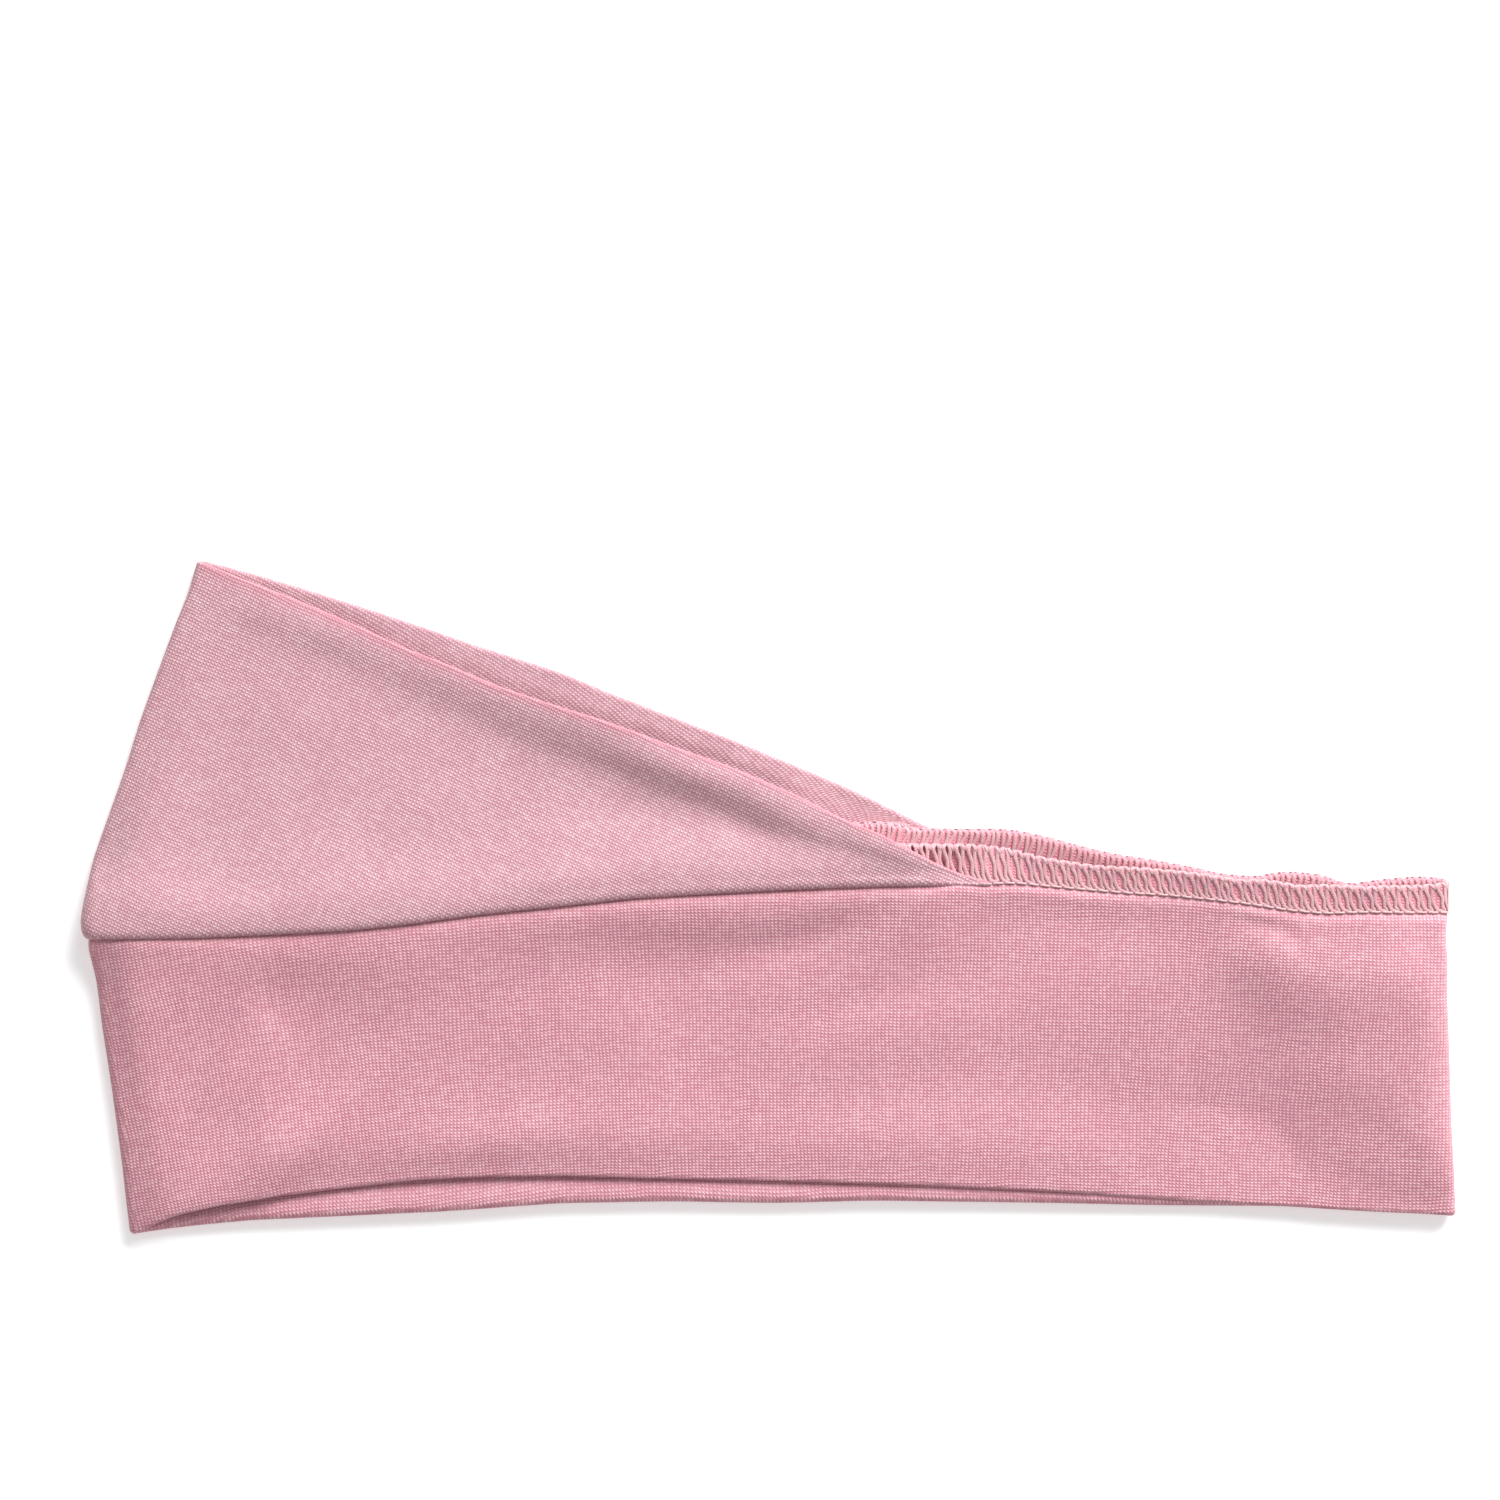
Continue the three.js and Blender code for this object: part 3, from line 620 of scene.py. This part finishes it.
# the two plies thin out at the noses, where they are caught in the seam
taper = np.ones(Wl.shape[0])
m = 14
taper[:m] = np.linspace(0.62, 1, m)
taper[-m:] = np.linspace(1, 0.62, m)
panel_r = np.full(len(Wl), 0.34)
panel_r[:nf_l] = fold_r(Wl[:nf_l, -1, 0], 1)
down_from_fold = np.linalg.norm(Wl - Wl[:, -1:], axis=2)
inner_l += (2 * panel_r[:, None] - WALL) * np.exp(-((down_from_fold / 2.6) ** 2)) * (np.arange(Wl.shape[1]) > nr + 8)[None, :]
Gl, Nl = folded_sheet(Wl, inner_l * taper[:, None], False, panel_r * np.maximum(taper, 0.7))


def panel_uv(W, nf):
    u, v = knit_panel(W[..., 0], W[..., 1])
    UV = np.stack([u, v], 2)
    # round the left fold and behind it the cloth is unfolded about the fold's line, by its length
    tx, ty = 0.27, 0.963
    along, across = W[..., 0] * tx + W[..., 1] * ty, W[..., 1] * tx - W[..., 0] * ty
    run = lengths_along(np.stack([across, W[..., 2]], 2), 0)
    out = across[nf - 1] + run[nf:] - run[nf - 1]
    u2, v2 = knit_panel(along[nf:] * tx - out * ty, along[nf:] * ty + out * tx)
    UV[nf:, :, 0], UV[nf:, :, 1] = u2, v2
    return UV


UVl = panel_uv(Wl, nf_l)


def panel_fold_uv(UV):
    parts = [UV[:, j] for j in range(UV.shape[1])]
    over = np.array([math.sin(BIAS), math.cos(BIAS)])  # the way over the top fold
    for k in range(1, 7):
        parts.append(UV[:, -1] + over * (0.25 * math.pi * k / 7))
    # the inner ply is the cloth mirrored in the fold's line
    line = np.gradient(UV[:, -1], axis=0)
    line = np.stack([np.convolve(np.pad(line[:, c], 10, mode="edge"), np.ones(21) / 21, mode="valid") for c in (0, 1)], 1)
    line /= np.maximum(np.linalg.norm(line, axis=1, keepdims=True), 1e-9)
    off = np.stack([-line[:, 1], line[:, 0]], 1)
    for j in range(UV.shape[1] - 1, -1, -1):
        away = UV[:, j] - UV[:, -1]
        parts.append(UV[:, j] - 2 * np.sum(away * off, axis=1, keepdims=True) * off + over * (0.25 * math.pi))
    return np.stack(parts, 1)


panel = grid_mesh("upper_panel_soft", Gl, panel_fold_uv(UVl), False, flip=False)
# painted shade: along its top fold the colour is darkened to damp the highlight where the rolled fold catches the key
# light; less on the back half
painted_fold_shade = np.zeros(Gl.shape[:2], dtype=np.float32)
n_ = Wl.shape[1]
painted_fold_shade[:, n_ - 3 : n_ + 6] = np.array([0.25, 0.6, 0.9, 1, 1, 1, 1, 1, 0.6])[None, :]
painted_fold_shade[nf_l:] *= 0.3
panel.data.attributes.new("painted_fold_shade", "FLOAT", "POINT").data.foreach_set("value", painted_fold_shade.ravel())


def thicken(ob, t):
    m = ob.modifiers.new("ply", "SOLIDIFY")
    m.thickness = t / 1000
    m.offset = 0
    m.use_even_offset = False
    m.use_rim = True
    return m


thicken(band, PLY)
thicken(panel, PLY)


# ------------------------------------------------------------------------------------------------
# Threads
# ------------------------------------------------------------------------------------------------
def tube(name, pts, thick, wide=None, sides=6, closed=False, guide=None):
    """A thread through pts (mm): thick is its half thickness along the guide directions, wide its half width across them."""
    P = np.array(pts, float)
    n = len(P)
    wide = thick if wide is None else wide
    if closed:
        T = np.roll(P, -1, 0) - np.roll(P, 1, 0)
    else:
        T = np.gradient(P, axis=0)
    T /= np.maximum(np.linalg.norm(T, axis=1, keepdims=True), 1e-9)
    g = np.broadcast_to(np.array([0.0, 0.0, 1.0]) if guide is None else guide, P.shape)
    U = g - T * np.sum(g * T, axis=1, keepdims=True)
    U /= np.maximum(np.linalg.norm(U, axis=1, keepdims=True), 1e-6)
    V = np.cross(T, U)
    a = np.arange(sides) * 2 * math.pi / sides + 0.3
    ring = P[:, None] + thick * np.cos(a)[None, :, None] * U[:, None] + wide * np.sin(a)[None, :, None] * V[:, None]
    verts = place(ring.reshape(-1, 3)).tolist()
    s = np.concatenate([[0], np.cumsum(np.linalg.norm(np.diff(P, axis=0), axis=1))])
    faces, uv = [], []
    last = n if closed else n - 1
    for i in range(last):
        i2 = (i + 1) % n
        s2 = s[i2] if i2 else s[-1] + float(np.linalg.norm(P[0] - P[-1]))
        for j in range(sides):
            j2 = (j + 1) % sides
            faces.append([i * sides + j, i * sides + j2, i2 * sides + j2, i2 * sides + j])
            uv += [(s[i], j / sides), (s[i], (j + 1) / sides), (s2, (j + 1) / sides), (s2, j / sides)]
    if not closed:
        for i, order in ((0, -1), (n - 1, 1)):
            f = [i * sides + j for j in range(sides)][::order]
            faces.append(f)
            uv += [(s[i], 0.5)] * sides
    me = bpy.data.meshes.new(name)
    me.from_pydata(verts, [], faces)
    me.uv_layers.new(name="knit").data.foreach_set("uv", np.array(uv, dtype=np.float32).ravel())
    me.polygons.foreach_set("use_smooth", [True] * len(faces))
    me.update()
    ob = bpy.data.objects.new(name, me)
    bpy.context.scene.collection.objects.link(ob)
    return ob


class Allowance:
    """Places on the band's sewn allowance, by length along the seam, height above the needle line and distance out from it."""

    def __init__(self):
        self.P = Wb[:, : N_UP + 2]
        self.N = Nb[:, : N_UP + 2]
        seam = self.P[:, N_UP - 1]
        d = np.linalg.norm(np.roll(seam, -1, 0) - seam, axis=1)
        self.s = np.concatenate([[0], np.cumsum(d)])
        self.total = float(self.s[-1])
        top = np.linalg.norm(self.P[:, 0] - seam, axis=1)
        self.tall = top
        self.I = len(seam)
        x = seam[:, 0]
        front = np.arange(self.I) < nf_b + 5
        cover = np.where(front, coverF(x), coverB(x))
        self.cover = cover

    def at(self, L, up, out):
        L = L % self.total
        fi = np.interp(L, self.s, np.arange(self.I + 1))
        i0 = np.floor(fi).astype(int)
        t = (fi - i0)[:, None]
        i0 %= self.I
        i1 = (i0 + 1) % self.I
        fj = (N_UP - 1) * (1 - up / WIDE)  # 0 at the raw edge, N_UP - 1 at the needle line
        j0 = np.clip(np.floor(fj).astype(int), 0, N_UP)
        tj = (fj - j0)[:, None]
        j1 = j0 + 1
        p = (self.P[i0, j0] * (1 - t) + self.P[i1, j0] * t) * (1 - tj) + (self.P[i0, j1] * (1 - t) + self.P[i1, j1] * t) * tj
        n = (self.N[i0, j0] * (1 - t) + self.N[i1, j0] * t) * (1 - tj) + (self.N[i0, j1] * (1 - t) + self.N[i1, j1] * t) * tj
        n /= np.maximum(np.linalg.norm(n, axis=1, keepdims=True), 1e-9)
        c = (self.cover[i0] * (1 - t[:, 0]) + self.cover[i1] * t[:, 0])
        # outward distances pass over the panel's plies where it covers the seam
        extra = np.where(out > 0, 0.9 * c, 0.0)
        return p - n * (out + extra)[:, None]


A = Allowance()
PITCH = 2.0
COUNT = int(round(A.total / PITCH))
pitch = A.total / COUNT
rs = np.random.RandomState(7)
UPPER, LOWER = PLY / 2 + 0.08, 0.44 + PLY / 2 + 0.10


def spline(points, per):
    """A closed Catmull-Rom curve through the points, per samples to each."""
    P = np.array(points)
    out = []
    a, b, c, d = np.roll(P, 1, 0), P, np.roll(P, -1, 0), np.roll(P, -2, 0)
    for k in range(per):
        t = k / per
        out.append(0.5 * ((2 * b) + (-a + c) * t + (2 * a - 5 * b + 4 * c - d) * t**2 + (-a + 3 * b - 3 * c + d) * t**3))
    return np.stack(out, 1).reshape(-1, P.shape[1])


def seam_thread(name, shape, thick, wide, jitter, per=2, sides=8):
    L, up, out = [], [], []
    for k in range(COUNT):
        j = rs.normal(0, jitter, 4)
        for n_, (du, h, o) in enumerate(shape):
            L.append((k + du) * pitch + j[0] + (j[1] if n_ % 2 else j[2]) * 0.4)
            up.append(h + (j[3] * 0.6 if 0.5 < h < 4.8 else 0))
            out.append(o)
    L, up, out = np.array(L), np.array(up), np.array(out)
    P = A.at(L, up, out)
    spine = A.at(L, np.minimum(up, 4.8), np.full(len(L), -0.2))
    G = P - spine
    return tube(name, spline(P, per), thick, wide, sides, closed=True, guide=spline(G, per))


# Upper looper: soft bulky thread on the outer face; each stitch is a pair of leaning legs joined along the needle line.
upper = seam_thread(
    "seam_upper_looper_soft",
    [(0.42, 0.42, UPPER + 0.04), (0.18, 1.1, UPPER + 0.02), (0.16, 2.7, UPPER), (-0.16, 4.25, UPPER + 0.02), (-0.14, 5.1, 0.16), (0.06, 5.4, -0.15), (0.30, 5.1, 0.16), (0.40, 4.25, UPPER + 0.02), (0.36, 2.7, UPPER), (0.66, 1.1, UPPER + 0.02), (0.86, 0.44, UPPER + 0.05), (1.12, 0.28, UPPER + 0.04)],
    0.13,
    0.35,
    0.09,
)
# Lower looper: the same on the inner face, with a wrap over the raw edge that fills the space between the upper looper's legs.
lower = seam_thread(
    "seam_lower_looper_soft",
    [(0.5, 0.25, -LOWER), (0.42, 1.4, -LOWER - 0.02), (0.25, 3.0, -LOWER), (0.14, 4.5, -LOWER), (0.16, 5.2, -0.42), (0.30, 5.38, 0.0), (0.44, 5.0, UPPER), (0.60, 4.5, UPPER + 0.03), (0.76, 5.0, UPPER), (0.90, 5.38, 0.0), (0.86, 5.2, -0.42), (0.62, 4.5, -LOWER), (0.85, 3.0, -LOWER), (1.22, 1.4, -LOWER - 0.04)],
    0.15,
    0.34,
    0.08,
)
# Needle thread: a chain of short stitches on the outer face, diving into the cloth at each needle hole.
needle = seam_thread(
    "seam_needle_soft",
    [(0.02, -0.02, UPPER - 0.20), (0.14, -0.06, UPPER + 0.10), (0.32, 0.04, UPPER + 0.18), (0.55, -0.10, UPPER + 0.20), (0.80, 0.0, UPPER + 0.16), (0.96, 0.02, UPPER - 0.14)],
    0.16,
    0.20,
    0.04,
)


# ------------------------------------------------------------------------------------------------
# The closing seam, on the inner face of the back half beside the right fold
# ------------------------------------------------------------------------------------------------
closing_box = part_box("closing_upper_looper_thread")


def to_mm(p):
    low, high = np.array(cad_low[:2]), np.array(cad_high[:2])
    return (np.array(p)[:2] - (low + high) / 2) / (high - low) * (PLAN_HIGH - PLAN_LOW) + (PLAN_LOW + PLAN_HIGH) / 2


CX = 108.7
y_low, y_high = to_mm(closing_box[0])[1] + 1.0, to_mm(closing_box[1])[1] - 1.0


def back_inner(x, y, h):
    """A point h above the back half's inner ply, which is 0.8 above its outer ply."""
    return np.stack([x, y, z_band_back(x, y) + WALL + PLY / 2 + h], -1)


cy = np.linspace(y_low, y_high, 60)
prof = [(0.9, 0.05), (0.6, 0.25), (0.2, 0.42), (-0.6, 0.5), (-1.8, 0.52), (-3.2, 0.52), (-4.4, 0.5), (-5.1, 0.48), (-5.3, 0.72), (-5.1, 0.98), (-4.4, 1.02), (-3.2, 1.04), (-1.8, 1.04), (-0.6, 1.03), (0.3, 0.92), (0.8, 0.7), (1.1, 0.35)]
Gc = np.stack([back_inner(np.full_like(cy, CX) + px + 0.06 * np.sin(cy * 1.1), cy, pz) for px, pz in prof], 1)
UVc = np.stack([Gc[..., 0] + np.cumsum(np.ones_like(Gc[..., 0]), 1) * 0.3, Gc[..., 1]], 2)
closing_cloth = grid_mesh("closing_allowance_soft", Gc, UVc, False)
thicken(closing_cloth, 0.4)


def closing_path(shape, count, per=3):
    pts = []
    for k in range(count):
        for dv, across, h in shape:
            y = np.array([y_low + 0.8 + (k + dv) * PITCH])
            pts.append(back_inner(np.array([CX - across]), y, h)[0])
    P = np.array(pts)
    t = np.arange(len(P))
    q = np.linspace(0, len(P) - 1, (len(P) - 1) * per + 1)
    return np.stack([np.interp(q, t, P[:, c]) for c in range(3)], 1)


n_close = int((y_high - y_low - 2.0) / PITCH)
closing_upper = tube("closing_upper_looper_soft", closing_path([(0, 0.4, 1.42), (0.12, 2.4, 1.42), (0.26, 4.6, 1.42), (0.34, 5.5, 0.95), (0.42, 4.6, 1.42), (0.7, 2.4, 1.42)], n_close), 0.15)
closing_lower = tube("closing_lower_looper_soft", closing_path([(0.5, 0.6, 0.22), (0.4, 2.4, 0.2), (0.2, 4.6, 0.2), (0.1, 5.45, 0.5), (0.3, 4.6, 0.2), (0.8, 2.4, 0.2)], n_close), 0.11)
closing_needle = tube("closing_needle_soft", closing_path([(0.05, 0.05, 1.2), (0.3, 0.05, 1.42), (0.5, 0.05, 1.46), (0.75, 0.05, 1.42), (0.95, 0.05, 1.2)], n_close), 0.14)


# ------------------------------------------------------------------------------------------------
# Materials
# ------------------------------------------------------------------------------------------------
def srgb(r, g, b):
    def lin(c):
        c /= 255
        return c / 12.92 if c <= 0.04045 else ((c + 0.055) / 1.055) ** 2.4

    return (lin(r), lin(g), lin(b), 1)


class Nodes:
    def __init__(self, name):
        self.mat = bpy.data.materials.new(name)
        self.mat.use_nodes = True
        self.t = self.mat.node_tree
        self.t.nodes.clear()
        self.out = self.t.nodes.new("ShaderNodeOutputMaterial")

    def link(self, a, b):
        self.t.links.new(a, b)

    def put(self, socket, value):
        if isinstance(value, (int, float, tuple, list)):
            socket.default_value = value
        else:
            self.link(value, socket)

    def math(self, op, a, b=0.0, c=0.0, clamp=False):
        n = self.t.nodes.new("ShaderNodeMath")
        n.operation = op
        n.use_clamp = clamp
        for i, v in enumerate((a, b, c)):
            self.put(n.inputs[i], v)
        return n.outputs[0]

    def noise(self, vector, scale, detail=2.0, rough=0.5, dims="3D"):
        n = self.t.nodes.new("ShaderNodeTexNoise")
        n.noise_dimensions = dims
        self.put(n.inputs["Vector"], vector)
        n.inputs["Scale"].default_value = scale
        n.inputs["Detail"].default_value = detail
        n.inputs["Roughness"].default_value = rough
        return n.outputs["Fac"]

    def combine(self, x, y, z=0.0):
        n = self.t.nodes.new("ShaderNodeCombineXYZ")
        for i, v in enumerate((x, y, z)):
            self.put(n.inputs[i], v)
        return n.outputs[0]

    def split(self, v):
        n = self.t.nodes.new("ShaderNodeSeparateXYZ")
        self.link(v, n.inputs[0])
        return n.outputs

    def mix(self, fac, a, b, mode="MIX"):
        n = self.t.nodes.new("ShaderNodeMix")
        n.data_type = "RGBA"
        n.blend_type = mode
        self.put(n.inputs["Factor"], fac)
        self.put(n.inputs[6], a)
        self.put(n.inputs[7], b)
        return n.outputs[2]

    def range(self, v, a, b, c, d, smooth=False):
        n = self.t.nodes.new("ShaderNodeMapRange")
        n.interpolation_type = "SMOOTHSTEP" if smooth else "LINEAR"
        self.put(n.inputs[0], v)
        for i, k in enumerate((a, b, c, d)):
            n.inputs[i + 1].default_value = k
        return n.outputs[0]

    def bump(self, height, distance, strength=1.0, normal=None):
        n = self.t.nodes.new("ShaderNodeBump")
        n.inputs["Strength"].default_value = strength
        n.inputs["Distance"].default_value = distance
        self.link(height, n.inputs["Height"])
        if normal is not None:
            self.link(normal, n.inputs["Normal"])
        return n.outputs[0]


def knit_material(name, light, dark, wale, course, chevron=0.5, groove=0.55, tilt=0.0, streak=1.0):
    """Fine jersey face: columns of V-shaped stitches, with uneven yarn and a soft fuzz. UV is in millimetres."""
    k = Nodes(name)
    uvn = k.t.nodes.new("ShaderNodeUVMap")
    uvn.uv_map = "knit"
    u, v, _ = k.split(uvn.outputs[0])
    # hand-made unevenness: the wales wander a little
    flat = k.combine(u, v)
    wander = k.noise(flat, 0.11, 1.0)
    wander2 = k.noise(k.combine(v, u, 3.0), 0.13, 1.0)
    u1 = k.math("ADD", u, k.math("MULTIPLY", k.math("SUBTRACT", wander, 0.5), 0.9))
    v1 = k.math("ADD", v, k.math("MULTIPLY", k.math("SUBTRACT", wander2, 0.5), 0.9))
    a = k.math("DIVIDE", u1, wale)
    b = k.math("DIVIDE", v1, course)
    fa = k.math("FRACT", a)
    side = k.math("ABSOLUTE", k.math("SUBTRACT", fa, 0.5))  # 0 at the middle of a wale, 0.5 in the groove
    vee = k.math("MULTIPLY", side, 2 * chevron)
    lean = k.math("MULTIPLY", fa, tilt)
    phase = k.math("MULTIPLY", k.math("ADD", k.math("SUBTRACT", b, vee), lean), 2 * math.pi)
    stitch = k.math("MULTIPLY_ADD", k.math("COSINE", phase), 0.5, 0.5)
    ridge_ = k.math("MULTIPLY_ADD", k.math("COSINE", k.math("MULTIPLY", a, 2 * math.pi)), -0.5, 0.5)  # 1 in the middle of a wale
    legs = k.math("POWER", ridge_, 0.9)
    h = k.math("MULTIPLY", legs, k.math("MULTIPLY_ADD", k.math("POWER", stitch, 1.3), 1 - groove, groove))
    # each stitch takes the light a little differently
    cell = k.t.nodes.new("ShaderNodeTexWhiteNoise")
    cell.noise_dimensions = "2D"
    k.link(k.combine(k.math("FLOOR", a), k.math("FLOOR", b)), cell.inputs["Vector"])
    per = k.math("MULTIPLY", k.math("SUBTRACT", cell.outputs["Value"], 0.5), 0.34)
    # paler and darker lengths of yarn along the courses
    yarn = k.noise(k.combine(k.math("MULTIPLY", u, 0.16), k.math("MULTIPLY", b, 1.0)), 1.0, 2.0, 0.6)
    yarn = k.math("MULTIPLY", k.math("SUBTRACT", yarn, 0.5), 0.75 * streak)
    wale_yarn = k.noise(k.combine(k.math("MULTIPLY", a, 0.9), k.math("MULTIPLY", v, 0.05)), 1.0, 1.0)
    wale_yarn = k.math("MULTIPLY", k.math("SUBTRACT", wale_yarn, 0.5), 0.2)
    cloud = k.noise(flat, 0.07, 3.0, 0.6)
    cloud = k.math("MULTIPLY", k.math("SUBTRACT", cloud, 0.5), 0.3)
    tone = k.math("ADD", k.math("ADD", h, per), k.math("ADD", k.math("ADD", yarn, wale_yarn), cloud), clamp=True)
    colour = k.mix(tone, dark, light)
    # painted bounce light: where this mask is set, the colour is mixed towards a brighter, deeper pink to lift the
    # shade between the looper threads
    att = k.t.nodes.new("ShaderNodeAttribute")
    att.attribute_name = "painted_bounce_light"
    colour = k.mix(k.math("MULTIPLY", att.outputs["Fac"], 0.55), colour, srgb(238, 146, 166))
    # painted shade: along the panel's top fold the colour is mixed towards a darker pink to damp the fold's highlight
    att = k.t.nodes.new("ShaderNodeAttribute")
    att.attribute_name = "painted_fold_shade"
    colour = k.mix(k.math("MULTIPLY", att.outputs["Fac"], 0.62), colour, srgb(194, 124, 138))
    p = k.t.nodes.new("ShaderNodeBsdfPrincipled")
    k.link(colour, p.inputs["Base Color"])
    k.put(p.inputs["Roughness"], k.range(h, 0, 1, 0.95, 0.78))
    p.inputs["Specular IOR Level"].default_value = 0.25
    p.inputs["Sheen Weight"].default_value = 0.25
    p.inputs["Sheen Roughness"].default_value = 0.45
    p.inputs["Sheen Tint"].default_value = (1, 0.86, 0.9, 1)
    fuzz = k.noise(flat, 9.0, 2.0, 0.7)
    height = k.math("ADD", h, k.math("MULTIPLY", fuzz, 0.25))
    k.link(k.bump(height, 0.00012, 1.0), p.inputs["Normal"])
    k.link(p.outputs[0], k.out.inputs[0])
    return k.mat


def thread_material(name, light, dark, twist=0.9):
    """Spun thread: two plies twisted together, with fine hairs of tone. UV is (mm along, share of the way round)."""
    k = Nodes(name)
    uvn = k.t.nodes.new("ShaderNodeUVMap")
    uvn.uv_map = "knit"
    s, a, _ = k.split(uvn.outputs[0])
    ph = k.math("MULTIPLY", k.math("ADD", k.math("DIVIDE", s, twist), a), 2 * math.pi * 2)
    ply = k.math("MULTIPLY_ADD", k.math("COSINE", ph), 0.5, 0.5)
    hairs = k.noise(k.combine(k.math("MULTIPLY", s, 1.1), k.math("MULTIPLY", a, 16.0)), 1.6, 3.0, 0.7)
    along = k.noise(k.combine(k.math("MULTIPLY", s, 0.35), 0.0), 1.0, 2.0)
    tone = k.math("ADD", k.math("MULTIPLY", ply, 0.25), k.math("ADD", k.math("MULTIPLY", hairs, 0.9), k.math("MULTIPLY", k.math("SUBTRACT", along, 0.5), 0.6)), clamp=True)
    p = k.t.nodes.new("ShaderNodeBsdfPrincipled")
    k.link(k.mix(tone, dark, light), p.inputs["Base Color"])
    p.inputs["Roughness"].default_value = 0.6
    p.inputs["Specular IOR Level"].default_value = 0.35
    p.inputs["Sheen Weight"].default_value = 0.3
    p.inputs["Sheen Roughness"].default_value = 0.4
    k.link(k.bump(k.math("ADD", k.math("MULTIPLY", ply, 0.25), k.math("MULTIPLY", hairs, 1.2)), 0.00008, 0.9), p.inputs["Normal"])
    k.link(p.outputs[0], k.out.inputs[0])
    return k.mat


mat_band = knit_material("band_knit", srgb(234, 188, 195), srgb(197, 133, 146), 0.64, 0.53, chevron=0.22, groove=0.12, tilt=0.3, streak=0.8)
mat_panel = knit_material("panel_knit", srgb(228, 193, 199), srgb(191, 140, 150), 0.61, 0.55, chevron=0.4, groove=0.12, streak=0.8)
mat_upper = thread_material("looper_thread", srgb(226, 181, 186), srgb(180, 122, 131))
mat_needle = thread_material("needle_thread", srgb(232, 196, 198), srgb(200, 146, 153), 0.7)

for ob, mat in ((band, mat_band), (closing_cloth, mat_band), (panel, mat_panel), (upper, mat_upper), (lower, mat_upper), (needle, mat_needle), (closing_upper, mat_upper), (closing_lower, mat_upper), (closing_needle, mat_needle)):
    ob.data.materials.append(mat)

# ------------------------------------------------------------------------------------------------
# Riding and replacing
# ------------------------------------------------------------------------------------------------
for ob, node, slot in (
    (band, "band_cloth", "band_knit"),
    (panel, "upper_panel_cloth", "panel_knit"),
    (upper, "seam_upper_looper_thread", "looper_thread"),
    (lower, "seam_lower_looper_thread", "looper_thread"),
    (needle, "seam_needle_thread", "needle_thread"),
    (closing_upper, "closing_upper_looper_thread", "looper_thread"),
    (closing_lower, "closing_lower_looper_thread", "looper_thread"),
    (closing_needle, "closing_needle_thread", "needle_thread"),
):
    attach(ob, "root")
    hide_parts(node)
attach(closing_cloth, "root")

# ------------------------------------------------------------------------------------------------
# Floor, light, camera
# ------------------------------------------------------------------------------------------------
bpy.ops.mesh.primitive_plane_add(size=6.0, location=(0, 0, -0.00012))
floor = bpy.context.object
floor.name = "floor"
fm = Nodes("floor")
fp = fm.t.nodes.new("ShaderNodeBsdfPrincipled")
fp.inputs["Base Color"].default_value = (0.93, 0.93, 0.93, 1)
fp.inputs["Roughness"].default_value = 0.9
fp.inputs["Specular IOR Level"].default_value = 0.1
fp.inputs["Emission Color"].default_value = (1, 1, 1, 1)  # a softly lit table
fp.inputs["Emission Strength"].default_value = 0.3
fm.link(fp.outputs[0], fm.out.inputs[0])
floor.data.materials.append(fm.mat)


def area(name, where, target, size, power, size_y=None):
    d = bpy.data.lights.new(name, "AREA")
    d.shape = "RECTANGLE"
    d.size = size
    d.size_y = size_y or size
    d.energy = power
    o = bpy.data.objects.new(name, d)
    bpy.context.scene.collection.objects.link(o)
    from mathutils import Vector

    o.location = where
    o.rotation_euler = (Vector(target) - Vector(where)).to_track_quat("-Z", "Y").to_euler()
    return o


area("key", (0.48, 0.82, 0.49), (0, 0, 0), 0.7, 24.0)
area("fill", (-0.3, -0.5, 1.3), (0, 0, 0), 1.4, 1.5)
world = bpy.data.worlds.new("studio")
world.use_nodes = True
world.node_tree.nodes["Background"].inputs[0].default_value = (1, 1, 1, 1)
world.node_tree.nodes["Background"].inputs[1].default_value = 0.42
bpy.context.scene.world = world
bpy.context.scene.view_settings.view_transform = "Standard"

cam_data = bpy.data.cameras.new("camera")
cam_data.sensor_width = 36
cam_data.lens = 100
cam_data.clip_start = 0.01
camera = bpy.data.objects.new("camera", cam_data)
bpy.context.scene.collection.objects.link(camera)
middle = place([(750 - 768.7) / 5.9, (898 - 750) / 5.9, 4.0])
span = 1500 / 5.9 / 1000
camera.location = (middle[0], middle[1], middle[2] + span * cam_data.lens / cam_data.sensor_width)
camera.rotation_euler = (0, 0, 0)
bpy.context.scene.camera = camera
